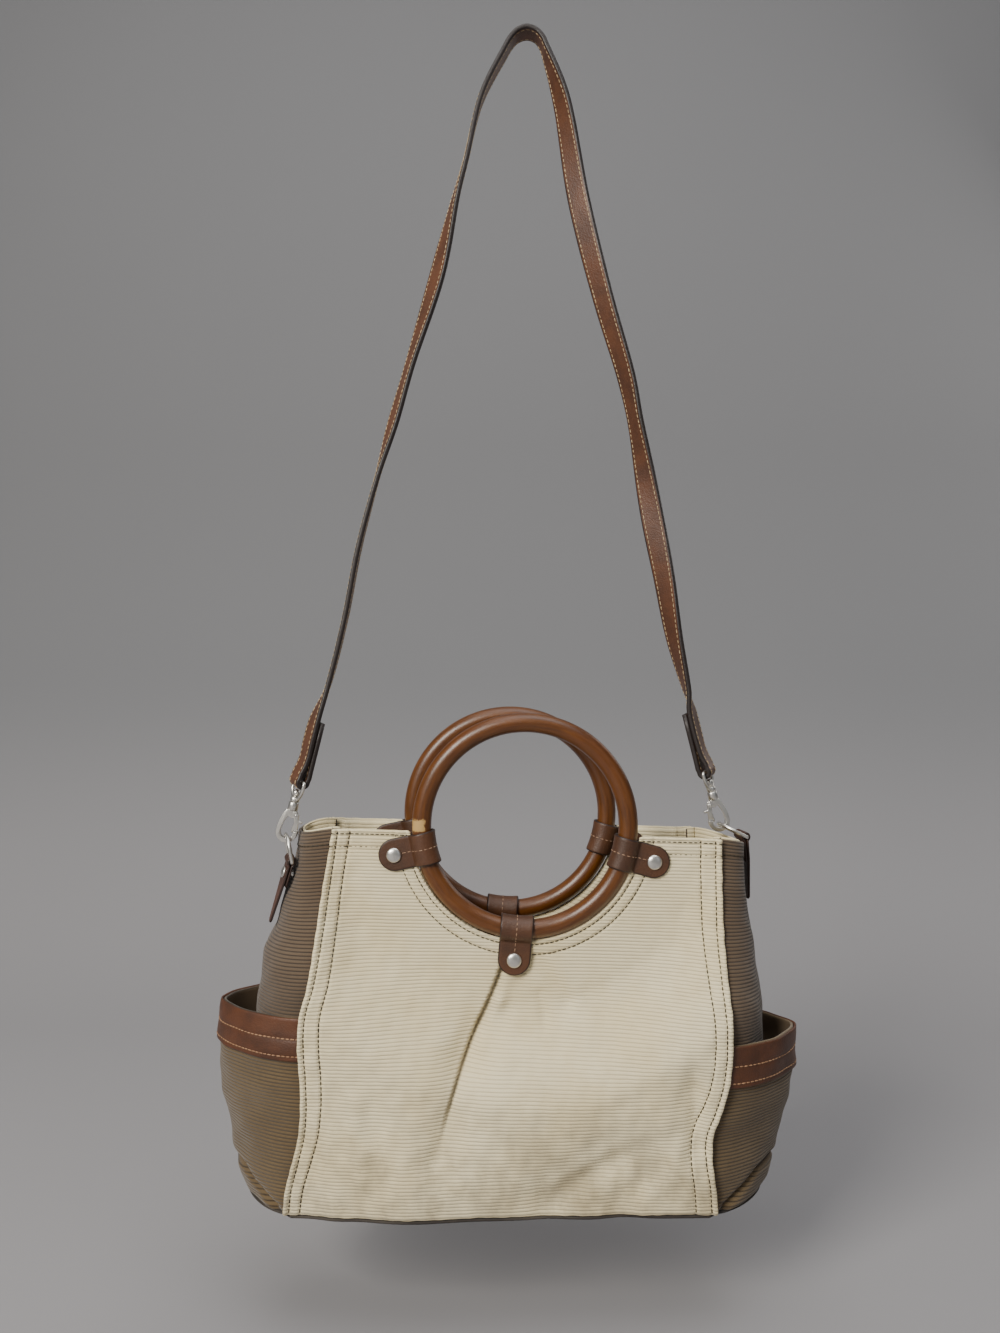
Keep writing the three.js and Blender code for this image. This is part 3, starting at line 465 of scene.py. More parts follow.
def edge_relief(distance, lines):
    """The doubled cloth stands proud up to the inner line, and each stitch line pulls it in."""
    raised = edge_rise * (1 - smooth(distance, lines[1] - 0.001, lines[1] + 0.001))
    bead = edge_bead * hump(distance - lines[0] / 2, lines[0] / 2.4)
    sewn = sum(stitch_pull * hump(distance - line, 0.0011) for line in lines)
    return raised + bead - sewn


def pucker(x, z, seed):
    """Small waves of the cloth, as a sum of a few fixed sines."""
    return (
        np.sin(410 * x + 130 * z + seed) * np.sin(260 * z - 90 * x + 2.1 * seed)
        + 0.6 * np.sin(190 * x - 330 * z + 1.7 * seed)
        + 0.5 * np.sin(620 * x + 540 * z + 0.7 * seed)
    )


def pleat(x, h):
    """How far the cloth drops at the front pleat."""
    away = x - panel_width * read(pleat_line, "x", h)
    drop = smooth(away, -pleat_edge, pleat_edge) * np.exp(-np.maximum(away, 0) / pleat_fade)
    return pleat_depth * drop * smooth(h, 0.16, 0.38) * (1 - smooth(h, 0.66, 0.72))


def panel_surface(face, across, h):
    """A point of the panel's outer face with its relief, from its share across and its height."""
    x = seam_x(-1, face, h) + across * (seam_x(1, face, h) - seam_x(-1, face, h))
    centre_x, centre_z = ring_centre(face)
    z = h * (panel_height - top_fall * across)
    beside = [x - seam_x(-1, face, h), seam_x(1, face, h) - x]
    neck = np.hypot(x - centre_x, z - centre_z) - ring_diameter / 2 - neckline_gap
    hem = (1 - h) * panel_height
    relief = sum(
        edge_relief(distance, (seam_lines[0], inner_seam(h, side)))
        for side, distance in zip((-1, 1), beside)
    )
    relief = relief + edge_relief(neck, neck_lines)
    relief = relief + edge_relief(hem, hem_lines) * smooth(neck, 0, 0.004)
    near = hump(np.minimum(np.minimum(*beside), np.minimum(neck, hem)), 0.016)
    flat = smooth(neck, 0.02, 0.05)
    creases = front_creases if face < 0 else back_creases
    relief = relief - smooth(neck, 0.002, 0.02) * fold_at(creases, x, h, crease_depth, crease_width)
    relief = relief + pucker(x, z, face) * (edge_pucker * near + cloth_pucker * flat)
    if face < 0:
        relief = relief - pleat(x, h)
    return np.stack(np.broadcast_arrays(x, face * (panel_out(face, x, h) + relief), z + foot), -1)


# Counts of the panels' mesh, which is finer beside the seams and along the neckline.
neckline_samples = 4000
neckline_columns = 150
strip_columns = 26
plain_columns = 34
lower_rows = 62
upper_rows = 66
strip_width = 0.019


def neckline(face, radius, angles):
    """The shares across and up the panel of points on a round about its ring's middle."""
    centre_x, centre_z = ring_centre(face)
    x, z = centre_x + radius * np.cos(angles), centre_z + radius * np.sin(angles)
    across = np.full_like(angles, 0.5)
    for _ in range(4):
        h = z / (panel_height - top_fall * across)
        left, right = seam_x(-1, face, h), seam_x(1, face, h)
        across = (x - left) / (right - left)
    return across, h


def panel_columns(face):
    """Shares across the panel and the height each column reaches: the neckline's own points lie
    between two runs that are finer beside the seams."""
    radius = ring_diameter / 2 + neckline_gap + canvas / 2
    top = 1 - canvas / 2 / panel_height
    across, h = neckline(face, radius, np.linspace(math.pi, 2 * math.pi, neckline_samples))
    inside = np.flatnonzero(h <= top)
    chosen = np.linspace(inside[0], inside[-1], neckline_columns).astype(int)
    edge = canvas / 2 / panel_width
    strip = strip_width / panel_width
    before = [
        *np.linspace(edge, strip, strip_columns),
        *np.linspace(strip, across[chosen[0]], plain_columns)[1:-1],
    ]
    after = [
        *np.linspace(across[chosen[-1]], 1 - strip, plain_columns)[1:],
        *np.linspace(1 - strip, 1 - edge, strip_columns)[1:],
    ]
    shares = np.array([*before, *across[chosen], *after])
    reach = np.array([*[top] * len(before), *h[chosen], *[top] * len(after)])
    return shares, reach


def shell(name, outer, thickness, uv, turn, materials, inner_material=lambda row: 0, rim_material=0):
    """A wall from a grid of points on its outer face, closed by an inner face and rounded edges.
    Turn is 1 where the columns run to the right as seen from outside, and -1 where they run left."""
    rows, columns = outer.shape[:2]
    normal = np.cross(np.gradient(outer, axis=1), np.gradient(outer, axis=0)) * turn
    normal /= np.linalg.norm(normal, axis=-1, keepdims=True)
    loop = np.array(
        [(0, j) for j in range(columns)]
        + [(i, columns - 1) for i in range(1, rows)]
        + [(rows - 1, j) for j in range(columns - 2, -1, -1)]
        + [(i, 0) for i in range(rows - 2, 0, -1)]
    )
    border, out = outer[loop[:, 0], loop[:, 1]], normal[loop[:, 0], loop[:, 1]]
    ahead = np.cross(np.roll(border, -1, 0) - np.roll(border, 1, 0), out) * turn
    ahead /= np.linalg.norm(ahead, axis=-1, keepdims=True) + 1e-12
    middle = border - out * thickness / 2
    rims = [
        middle + thickness / 2 * (math.cos(angle) * out + math.sin(angle) * ahead)
        for angle in np.radians((45, 90, 135))
    ]
    points = np.concatenate([outer.reshape(-1, 3), (outer - normal * thickness).reshape(-1, 3), *rims])
    place = np.arange(rows * columns).reshape(rows, columns)
    quads = np.stack([place[:-1, :-1], place[:-1, 1:], place[1:, 1:], place[1:, :-1]], -1)
    outside = quads.reshape(-1, 4)
    inside = outside[:, ::-1] + rows * columns
    around = place[loop[:, 0], loop[:, 1]]
    rings = [around, *[2 * rows * columns + k * len(loop) + np.arange(len(loop)) for k in range(3)]]
    rings.append(around + rows * columns)
    rim = np.concatenate(
        [np.stack([np.roll(a, -1), a, b, np.roll(b, -1)], -1) for a, b in zip(rings, rings[1:])]
    )
    faces = np.concatenate([outside, inside, rim])
    if turn < 0:
        faces = faces[:, ::-1]
    piece = smooth_piece(name, points.tolist(), faces.tolist())
    mesh = piece.data
    flat_uv = uv.reshape(-1, 2)
    every_uv = np.concatenate([flat_uv, flat_uv, *[flat_uv[around]] * 3])
    corner = np.empty(len(mesh.loops), int)
    mesh.loops.foreach_get("vertex_index", corner)
    mesh.uv_layers.new(name="cloth").data.foreach_set("uv", every_uv[corner].ravel())
    index = np.full(len(faces), rim_material)
    index[: len(outside)] = 0
    inner = [inner_material(i) for i in range(rows - 1)]
    index[len(outside) : 2 * len(outside)] = np.repeat(inner, columns - 1)
    mesh.polygons.foreach_set("material_index", index)
    for material in materials:
        mesh.materials.append(material)
    return piece


def dress(piece, body, slot, *nodes):
    """Hangs a finished piece on its body, in place of the plain CAD nodes that it shows."""
    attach(piece, body)
    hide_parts(*nodes)


rib_pitch = 0.00235
thread_pitch = 0.0007


def ribbed_canvas(name, rib, groove, mottle, soil_and_shade_amount, soil_and_shade_tone, contrast, pleated=False):
    """Canvas with thick weft ribs along U under fine warp threads, darker in blotches towards its foot
    with soil and painted shade and, where it is pleated, with painted shade along the bottom of the pleat."""
    cloth = Finish(name, roughness=0.85, sheen_weight=0.25, sheen_roughness=0.5)
    along, up, _ = cloth.parts(cloth.cloth_place())
    place = cloth.object_place()
    drift = cloth.noise(cloth.vector(along * 14, up * 14), 1.0, 2.0)
    slub = cloth.noise(cloth.vector(along * 55, up / rib_pitch * 0.9), 1.0, 3.0)
    phase = (up + drift * 0.0022) / rib_pitch
    side = phase.math("FRACT") * 2 - 1
    profile = 1 - side.math("ABSOLUTE") ** 2.4
    warp = (along / thread_pitch * math.tau + drift * 9).math("SINE") * 0.5 + 0.5
    fibre = cloth.noise(cloth.vector(along * 2600, up * 900), 1.0, 2.0)
    cover = profile * (0.78 + slub * 0.44)
    tone = cloth.mix(cover.limited(0.05, contrast), groove, rib)
    patch = cloth.noise(place, 22.0, 4.0, 0.6)
    tone = cloth.mix(patch.limited(0.35, 0.7) * 0.55, tone, mottle, "MULTIPLY")
    tone = cloth.mix((fibre - 0.5) * 0.5 + 0.18, tone, groove)
    # Darker in blotches towards the foot: partly real soil, partly painted shade where the cloth turns
    # under.
    height_up = cloth.parts(place)[2] - foot
    low = 1 - height_up.limited(0.004, 0.11)
    blot = cloth.noise(place, 34.0, 5.0, 0.62)
    stain_and_shade = (low * blot.limited(0.38, 0.72) * soil_and_shade_amount).math("MINIMUM", 0.8)
    tone = cloth.mix(stain_and_shade, tone, soil_and_shade_tone)
    if pleated:
        # Painted shade: a thin dark line in the soil tone along the bottom of the pleat.
        line = 0
        for factor in pleat_curve:
            line = up * line + float(factor)
        away = (along - line - pleat_edge).math("ABSOLUTE")
        ends = up.limited(0.17 * panel_height, 0.34 * panel_height)
        pleat_shade = (1 - away.limited(0.0002, pleat_shade_width)) * ends
        tone = cloth.mix(pleat_shade * 0.8, tone, soil_and_shade_tone)
    height = profile * (0.7 + slub * 0.4) + warp * 0.16 * profile + fibre * 0.22
    return cloth.finish(tone, height=height, depth=0.00045)


pleat_heights = [row["height"] * panel_height for row in pleat_line]
pleat_curve = np.polyfit(pleat_heights, [row["x"] * panel_width for row in pleat_line], 3)
# The width of the painted shade along the pleat.
pleat_shade_width = 0.0026
cream_tones = (srgb(244, 231, 192), srgb(219, 204, 164), srgb(236, 228, 208))
# How much soil and painted shade darken the cream towards its foot, their tone, and the ribs' contrast.
cream_soil_and_shade = (0.60, srgb(138, 122, 92), 0.75)
cream_canvas = ribbed_canvas("cream_canvas", *cream_tones, *cream_soil_and_shade)
pleated_canvas = ribbed_canvas("pleated_canvas", *cream_tones, *cream_soil_and_shade, pleated=True)


def woven_lining(name, light, dark):
    """The plain twill that lines the bag and its pockets."""
    cloth = Finish(name, roughness=0.8)
    along, up, _ = cloth.parts(cloth.cloth_place())
    twill = ((along + up) / 0.0011 * math.tau).math("SINE") * 0.5 + 0.5
    patch = cloth.noise(cloth.object_place(), 40.0, 4.0)
    tone = cloth.mix(twill * 0.5 + patch * 0.4, dark, light)
    return cloth.finish(tone, height=twill * 0.6 + patch, depth=0.0002)


lining = woven_lining("lining", srgb(122, 104, 82), srgb(92, 76, 58))


def plain_mesh(source, name):
    """What an object's modifiers make, as a plain mesh of its own; the source is removed."""
    graph = bpy.context.evaluated_depsgraph_get()
    mesh = bpy.data.meshes.new_from_object(source.evaluated_get(graph))
    mesh.name = name
    mesh.transform(source.matrix_world)
    bpy.data.objects.remove(source)
    return put(name, mesh)


def grow(source, name, tree, **values):
    """The plain mesh that a Geometry Nodes tree makes of an object, with the tree's inputs given."""
    modifier = source.modifiers.new(tree.name, "NODES")
    modifier.node_group = tree
    inputs = {i.name: i.identifier for i in tree.interface.items_tree if i.in_out == "INPUT"}
    for label, value in values.items():
        modifier[inputs[label]] = value
    return plain_mesh(source, name)


def drawn(name, lines, closed=False):
    """A curve object with one straight-sided spline for each line of points."""
    data = bpy.data.curves.new(name, "CURVE")
    data.dimensions = "3D"
    for line in lines:
        spline = data.splines.new("POLY")
        spline.points.add(len(line) - 1)
        spline.points.foreach_set("co", np.c_[line, np.ones(len(line))].ravel())
        spline.use_cyclic_u = closed
    return put(name, data)


thread_lift = 0.00005


def sew(name, lines, thread, body, pitch=0.0034, length=0.0031, thickness=0.00105):
    """Rows of stitches: one small bead of thread at each step of every line."""
    rows = drawn(name + "_rows", lines)
    sizes = {"Pitch": pitch, "Length": length, "Thickness": thickness}
    piece = grow(rows, name, stitch_tree, Thread=thread, **sizes)
    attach(piece, body)


class Tree:
    """A Geometry Nodes tree in the making, with named inputs."""

    def __init__(self, name, **inputs):
        self.group = bpy.data.node_groups.new(name, "GeometryNodeTree")
        self.group.interface.new_socket("Geometry", in_out="INPUT", socket_type="NodeSocketGeometry")
        self.group.interface.new_socket("Geometry", in_out="OUTPUT", socket_type="NodeSocketGeometry")
        for label, kind in inputs.items():
            self.group.interface.new_socket(label, in_out="INPUT", socket_type="NodeSocket" + kind)
        self.inputs = self.group.nodes.new("NodeGroupInput").outputs
        self.end = self.group.nodes.new("NodeGroupOutput").inputs["Geometry"]

    def node(self, kind, sockets=(), **settings):
        """Adds a node and returns its outputs: its settings first, then its sockets."""
        node = self.group.nodes.new(kind)
        for label, value in settings.items():
            setattr(node, label, value)
        for label, value in dict(sockets).items():
            if isinstance(value, bpy.types.NodeSocket):
                self.group.links.new(value, node.inputs[label])
            else:
                node.inputs[label].default_value = value
        return node.outputs

    def finish(self, geometry, material):
        """Realizes the instances, sets the material and closes the tree."""
        real = self.node("GeometryNodeRealizeInstances", {"Geometry": geometry})
        painted = self.node("GeometryNodeSetMaterial", {"Geometry": real[0], "Material": material})
        self.group.links.new(painted[0], self.end)
        return self.group


def make_stitch_tree():
    """Beads of thread along a curve, each turned along it, with small fixed variations."""
    tree = Tree("stitches", Pitch="Float", Length="Float", Thickness="Float", Thread="Material")
    points = tree.node(
        "GeometryNodeCurveToPoints",
        {"Curve": tree.inputs["Geometry"], "Length": tree.inputs["Pitch"]},
        mode="LENGTH",
    )
    bead = tree.node("GeometryNodeMeshUVSphere", {"Segments": 6, "Rings": 5, "Radius": 0.5})
    turned = tree.node("FunctionNodeAlignRotationToVector", {"Vector": points["Tangent"]}, axis="Z")
    size = tree.node(
        "ShaderNodeCombineXYZ",
        {"X": tree.inputs["Thickness"], "Y": tree.inputs["Thickness"], "Z": tree.inputs["Length"]},
    )
    vary = tree.node("FunctionNodeRandomValue", {2: 0.88, 3: 1.08, "Seed": 4}, data_type="FLOAT")
    scaled = tree.node("ShaderNodeVectorMath", {0: size[0], "Scale": vary[1]}, operation="SCALE")
    rows = tree.node(
        "GeometryNodeInstanceOnPoints",
        {"Points": points["Points"], "Instance": bead["Mesh"], "Rotation": turned[0], "Scale": scaled[0]},
    )
    return tree.finish(rows["Instances"], tree.inputs["Thread"])


stitch_tree = make_stitch_tree()


def waxed_thread(name, light, dark):
    """Twisted thread, darker in places."""
    thread = Finish(name, roughness=0.6)
    patch = thread.noise(thread.object_place(), 900.0, 2.0)
    return thread.finish(thread.mix(patch.limited(0.35, 0.65), dark, light), height=patch, depth=0.0002)


olive_thread = waxed_thread("olive_thread", srgb(70, 59, 40), srgb(40, 33, 21))


def panel_lines(face):
    """The stitch lines of a panel: along both seams, the hem and the neckline."""
    lines = []
    heights = np.linspace(0.012, 0.992, 160)
    for side in (-1, 1):
        for nearest in (True, False):
            distance = seam_lines[0] if nearest else inner_seam(heights, side)
            width = seam_x(1, face, heights) - seam_x(-1, face, heights)
            share = distance / width if side < 0 else 1 - distance / width
            lines.append(panel_surface(face, share, heights))
    centre_x, centre_z = ring_centre(face)
    for distance in neck_lines:
        radius = ring_diameter / 2 + neckline_gap + distance
        share, h = neckline(face, radius, np.linspace(math.pi + 0.02, 2 * math.pi - 0.02, 120))
        keep = h < 1 - hem_lines[0] / panel_height
        lines.append(panel_surface(face, share[keep], h[keep]))
    for distance in hem_lines:
        shares = np.linspace(0.004, 0.996, 300)
        h = np.full_like(shares, 1 - distance / panel_height)
        points = panel_surface(face, shares, h)
        away = np.hypot(points[:, 0] - centre_x, points[:, 2] - foot - centre_z) - ring_diameter / 2
        for half in (slice(0, 150), slice(150, 300)):
            lines.append(points[half][away[half] > neck_lines[0]])
    return [line + [0, face * thread_lift, 0] for line in lines]


for panel_name, face in (("front_panel", -1), ("back_panel", 1)):
    shares, reach = panel_columns(face)
    steps = [*np.linspace(0.0, 0.5, lower_rows), *np.linspace(0.5, 1.0, upper_rows)[1:]]
    steps = np.array(steps)[:, None]
    low = canvas / 2 / panel_height
    h = np.where(steps < 0.5, low + steps * (1 - 2 * low), 0.5 + (steps - 0.5) * 2 * (reach[None] - 0.5))
    surface = panel_surface(face, np.broadcast_to(shares, h.shape), h)
    uv = np.stack([surface[..., 0], h * panel_height], -1)
    lining_top = np.count_nonzero(h[:, 0] < 1 - facing_height / panel_height)
    cloths = [pleated_canvas if face < 0 else cream_canvas, lining]
    panel = shell(
        panel_name + "_cloth", surface, canvas, uv, -face, cloths, lambda row: int(row < lining_top)
    )
    dress(panel, "bag", "cream_canvas", panel_name)
    sew(panel_name + "_stitches", panel_lines(face), olive_thread, "bag")

# Gussets and their facings
# Each end of the bag is a bulging wall of brown ribbed canvas, lapped behind the panels' edges.
# A thin cream facing is turned over its top from inside, and one hem line is sewn through both.
gusset_dip = 0.004
gusset_reach = 0.040
seam_lap = 0.006
facing_thickness = 0.0012
facing_rise = 0.0012
gusset_pull = 0.0005
gusset_rise = 0.00025
gusset_pucker = 0.0003
gusset_rows = 132
facing_rows = 12
gap = 0.0003
cloth_gap = 0.0006
band_height = 0.028
band_thickness = 0.0018
pocket_rims = {-1: 0.127, 1: 0.112}

# How far each gusset stands out, as shares of gusset_reach. Square is its plan's roundness.
gussets = [
    {"height": 0.00, "left": 0.42, "right": 0.66, "square": 1.6},
    {"height": 0.15, "left": 0.62, "right": 0.76, "square": 1.7},
    {"height": 0.30, "left": 0.78, "right": 0.78, "square": 1.8},
    {"height": 0.45, "left": 0.87, "right": 0.77, "square": 1.9},
    {"height": 0.54, "left": 0.89, "right": 0.76, "square": 2.0},
    {"height": 0.66, "left": 0.93, "right": 0.72, "square": 2.1},
    {"height": 0.73, "left": 0.77, "right": 0.69, "square": 2.2},
    {"height": 0.80, "left": 0.69, "right": 0.61, "square": 2.4},
    {"height": 0.90, "left": 0.57, "right": 0.54, "square": 2.6},
    {"height": 1.00, "left": 0.54, "right": 0.53, "square": 2.8},
]
side_names = {-1: "left", 1: "right"}
pocket_inset = canvas + cloth_gap + band_thickness + gap
gusset_stations = 90 - 90 * np.cos(np.linspace(0, math.pi, 64))


def side_outline(side, h, reach, square, inset, stations, lap):
    """The plan of a side wall at one height: from behind the front panel's edge, out and round to
    behind the back panel's edge. Stations are angles from front to back."""
    front, back = seam_x(side, -1, h), seam_x(side, 1, h)

    def rim(face, x):
        return face * (panel_out(face, x, h) - inset)

    sine, cosine = np.abs(np.sin(np.radians(stations))), np.cos(np.radians(stations))
    along = np.sign(cosine) * np.abs(cosine) ** (2 / square)
    x = front + (back - front) * (1 - along) / 2 + side * reach * sine ** (2 / square)
    y = np.where(along > 0, along * rim(-1, front), -along * rim(1, back))
    before, after = front - side * np.array(lap), back - side * np.array(lap[::-1])
    x = np.concatenate([before, x, after])
    y = np.concatenate([rim(-1, before), y, rim(1, after)])
    return np.stack([x, y], -1)


def gusset_outline(side, h, stations, lap):
    covered = 1 - smooth(h * panel_height, pocket_rims[side], pocket_rims[side] + band_height)
    inset = canvas + cloth_gap + covered * (pocket_inset + cloth_gap - gap)
    reach = gusset_reach * read(gussets, side_names[side], h)
    return side_outline(side, h, reach, read(gussets, "square", h), inset, stations, lap)


def side_wall(side, heights, outline, stations, lap):
    """The grid of a side wall's outer face, and its cloth coordinates."""
    beyond = np.zeros(len(lap))
    dips = np.concatenate([beyond, np.sin(np.radians(stations)), beyond]) * gusset_dip
    side_top = panel_height - (0 if side < 0 else top_fall)
    grid = []
    for h in heights:
        plan = outline(side, h, stations, lap)
        grid.append(np.c_[plan, h * side_top - dips * h**4 + foot])
    grid = np.array(grid)
    steps = np.linalg.norm(np.diff(grid[..., :2], axis=1), axis=-1)
    along = np.concatenate([np.zeros((len(grid), 1)), np.cumsum(steps, 1)], 1)
    up = np.broadcast_to(np.array(heights)[:, None] * panel_height, along.shape)
    return grid, np.stack([along, up], -1)


def grid_normals(grid, turn):
    normal = np.cross(np.gradient(grid, axis=1), np.gradient(grid, axis=0)) * turn
    return normal / np.linalg.norm(normal, axis=-1, keepdims=True)


brown_canvas = ribbed_canvas(
    "brown_canvas", srgb(105, 87, 67), srgb(47, 36, 26), srgb(214, 205, 196),
    0.10, srgb(92, 76, 60), 0.95,
)
lap_points = [seam_lap - canvas / 2, seam_lap * 0.55, seam_lap * 0.25]

for side, side_name in side_names.items():
    edge = canvas / 2 / panel_height
    heights = np.linspace(edge, 1 - edge, gusset_rows)
    wall, uv = side_wall(side, heights, gusset_outline, gusset_stations, lap_points)
    out = grid_normals(wall, side)
    below_hem = (1 - heights[:, None]) * panel_height - hem_lines[1]
    relief = gusset_rise * (1 - smooth(below_hem, -0.001, 0.001)) - gusset_pull * hump(below_hem, 0.0012)
    relief = relief + gusset_pucker * pucker(wall[..., 1] * 0.6, wall[..., 2] * 0.5, side)
    wall = wall + out * relief[..., None]
    cloths = [brown_canvas, lining]
    gusset = shell(f"{side_name}_gusset_cloth", wall, canvas, uv, side, cloths, lambda row: 1)
    dress(gusset, "bag", "brown_canvas", f"{side_name}_gusset")
    hem_row = np.argmin(np.abs((1 - heights) * panel_height - hem_lines[1]))
    hem = wall[hem_row] + out[hem_row] * 2 * thread_lift
    sew(f"{side_name}_gusset_stitches", [hem[2:-2]], olive_thread, "bag")

    top = 1 - facing_thickness / 2 / panel_height
    rows = np.linspace(1 - facing_height / panel_height, top, facing_rows)
    wall, uv = side_wall(side, rows, gusset_outline, gusset_stations, lap_points)
    out = grid_normals(wall, side)
    wall = wall - out * (canvas + gap)
    wall[:, :, 2] += facing_rise * smooth(rows, 1 - 0.006 / panel_height, top)[:, None]
    facing = shell(f"{side_name}_facing_cloth", wall, facing_thickness, uv, side, [cream_canvas])
    dress(facing, "bag", "cream_canvas", f"{side_name}_facing")

# End pockets and their leather bands
# Each is a wide patch of olive ribbed canvas, sewn into the panels' seams so that it stands away
# from the gusset. A leather band is sewn round its rim with two rows of tan thread.
pocket_reach = 0.064
pocket_square = 1.5
pockets = [
    {"height": 0.000, "left": 0.530, "right": 0.620},
    {"height": 0.025, "left": 0.600, "right": 0.680},
    {"height": 0.090, "left": 0.720, "right": 0.790},
    {"height": 0.165, "left": 0.840, "right": 0.890},
    {"height": 0.240, "left": 0.960, "right": 0.940},
    {"height": 0.290, "left": 1.000, "right": 0.910},
    {"height": 0.385, "left": 0.985, "right": 0.850},
    {"height": 0.520, "left": 0.915, "right": 0.830},
]
dart_depth = 0.0040
dart_width = 0.0024
slack = 0.00045
band_pull = 0.0004
pocket_rows = 84
band_rows = 22
band_lines = (band_height * 0.48, band_height - 0.003)


def pocket_outline(side, h, stations, lap):
    reach = pocket_reach * read(pockets, side_names[side], h)
    return side_outline(side, h, reach, pocket_square, pocket_inset, stations, lap)


def leather(name, skin, deep, glow, roughness=0.5, grain=0.00022, edge=None):
    """Grained leather: fine pebbles, soft patches, and where edge is given, paint at its edges."""
    hide = Finish(name, roughness=roughness, coat_weight=0.12, coat_roughness=0.35)
    place = hide.object_place()
    patch = hide.noise(place, 55.0, 4.0, 0.6)
    pebble = hide.node("ShaderNodeTexVoronoi", {"Vector": place, "Scale": 900.0})
    fine = hide.noise(place, 2200.0, 3.0)
    tone = hide.mix(patch.limited(0.32, 0.7), skin, deep)
    tone = hide.mix((1 - pebble.limited(0.0, 0.5)) * 0.25, tone, glow)
    if edge is not None:
        edge_colour, half_width, margin = edge
        across = hide.parts(hide.cloth_place())[0].math("ABSOLUTE")
        ragged = across + (patch - 0.5) * 0.0006
        painted = ragged.limited(half_width - margin - 0.0002, half_width - margin + 0.0002)
        tone = hide.mix(painted, tone, edge_colour)
    rough = patch * 0.25 + (roughness - 0.1)
    height = pebble * 0.6 + fine * 0.4
    return hide.finish(tone, roughness=rough, height=height, depth=grain)


pocket_canvas = ribbed_canvas(
    "pocket_canvas", srgb(113, 93, 62), srgb(53, 40, 23), srgb(214, 207, 192),
    0.12, srgb(96, 80, 56), 0.95,
)
band_leather = leather("band_leather", srgb(90, 51, 27), srgb(69, 39, 21), srgb(106, 67, 39))
tan_thread = waxed_thread("tan_thread", srgb(178, 138, 104), srgb(128, 94, 66))

for side, side_name in side_names.items():
    rim = pocket_rims[side] / panel_height
    edge = canvas / 2 / panel_height
    heights = np.linspace(edge, rim - edge, pocket_rows)
    wall, uv = side_wall(side, heights, pocket_outline, gusset_stations, lap_points)
    out = grid_normals(wall, side)
    x, y, z = wall[..., 0], wall[..., 1], wall[..., 2] - foot
    seam = seam_x(side, -1, 0.0)
    share = np.clip((x - seam) * side / (pocket_reach * 0.5), 0, 1)
    dart = dart_depth * hump(z - 0.001 - 0.020 * share**1.3, dart_width)
    dart = dart * (y < 0.01) * smooth(share, 0.0, 0.2)
    waves = slack * pucker(y * 0.5, z * 0.6, 2 + side)
    wall = wall + out * (waves - dart)[..., None]
    cloths = [pocket_canvas, lining]
    pocket = shell(f"{side_name}_pocket_cloth", wall, canvas, uv, side, cloths, lambda row: 1)
    dress(pocket, "bag", "pocket_canvas", f"{side_name}_pocket")

    edge = band_thickness / 2 / panel_height
    rows = np.linspace(rim - band_height / panel_height + edge, rim - edge, band_rows)
    wall, uv = side_wall(side, rows, pocket_outline, gusset_stations, lap_points)
    out = grid_normals(wall, side)
    down = (rim - rows[:, None]) * panel_height
    waves = slack * pucker(wall[..., 1] * 0.5, (wall[..., 2] - foot) * 0.6, 2 + side)
    sewn = sum(band_pull * hump(down - line, 0.0012) for line in band_lines)
    wall = wall + out * (gap + band_thickness + waves - sewn)[..., None]
    band_name = f"{side_name}_pocket_band"
    band = shell(band_name + "_leather", wall, band_thickness, uv, side, [band_leather])
    dress(band, "bag", "band_leather", band_name)
    lines = []
    for line in band_lines:
        row = np.argmin(np.abs(down[:, 0] - line))
        lines.append(wall[row, 1:-1] + out[row, 1:-1] * 2 * thread_lift)
    sew(f"{side_name}_band_stitches", lines, tan_thread, "bag")

# Base
# A stiff board covered in dark cloth closes the body from below, a little inside the walls' feet.
base_inset = 0.0006
base_low, base_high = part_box("base_panel")
base_edge = [(0.0, 0.0), (0.96, 0.0), (0.992, 0.0003), (1.0, 0.001)]


def base_outline():
    shares = np.linspace(0, 1, 60)[1:-1]
    front_x = seam_x(-1, -1, 0.0) + shares * (seam_x(1, -1, 0.0) - seam_x(-1, -1, 0.0))
    back_x = seam_x(-1, 1, 0.0) + shares * (seam_x(1, 1, 0.0) - seam_x(-1, 1, 0.0))
    front = np.c_[front_x, -(panel_out(-1, front_x, 0.0) - base_inset)]
    back = np.c_[back_x, panel_out(1, back_x, 0.0) - base_inset]
    ends = {}
    for side in (-1, 1):
        plan = pocket_outline(side, 0.0, gusset_stations, [])
        way = np.gradient(plan, axis=0)
        normal = np.stack([way[:, 1], -way[:, 0]], -1) * side
        ends[side] = plan - normal / np.linalg.norm(normal, axis=-1, keepdims=True) * base_inset
    return np.concatenate([front, ends[1], back[::-1], ends[-1][::-1]])


outline = base_outline()
centre = outline.mean(0)
base_rings = [(share, base_low.z + rise) for share, rise in base_edge]
base_rings += [(share, base_high.z - rise) for share, rise in base_edge[::-1]]
base_points = [
    (*(centre + (point - centre) * max(share, 1e-4)), z) for share, z in base_rings for point in outline
]
count = len(outline)
base_faces = [
    (r * count + i, r * count + (i + 1) % count, (r + 1) * count + (i + 1) % count, (r + 1) * count + i)
    for r in range(len(base_rings) - 1)
    for i in range(count)
]
base_faces.append(tuple(reversed(range(count))))
base_faces.append(tuple(range((len(base_rings) - 1) * count, len(base_rings) * count)))
base = smooth_piece("base_board", base_points, base_faces)

board = Finish("base_board", roughness=0.75)
weave = board.noise(board.object_place(), 1400.0, 3.0)
dust = board.noise(board.object_place(), 30.0, 4.0)
board_tone = board.mix(dust.limited(0.4, 0.75) * 0.6, srgb(52, 46, 41), srgb(92, 84, 74))
base.data.materials.append(board.finish(board_tone, height=weave, depth=0.0003))
dress(base, "bag", "base_board", "base_panel")

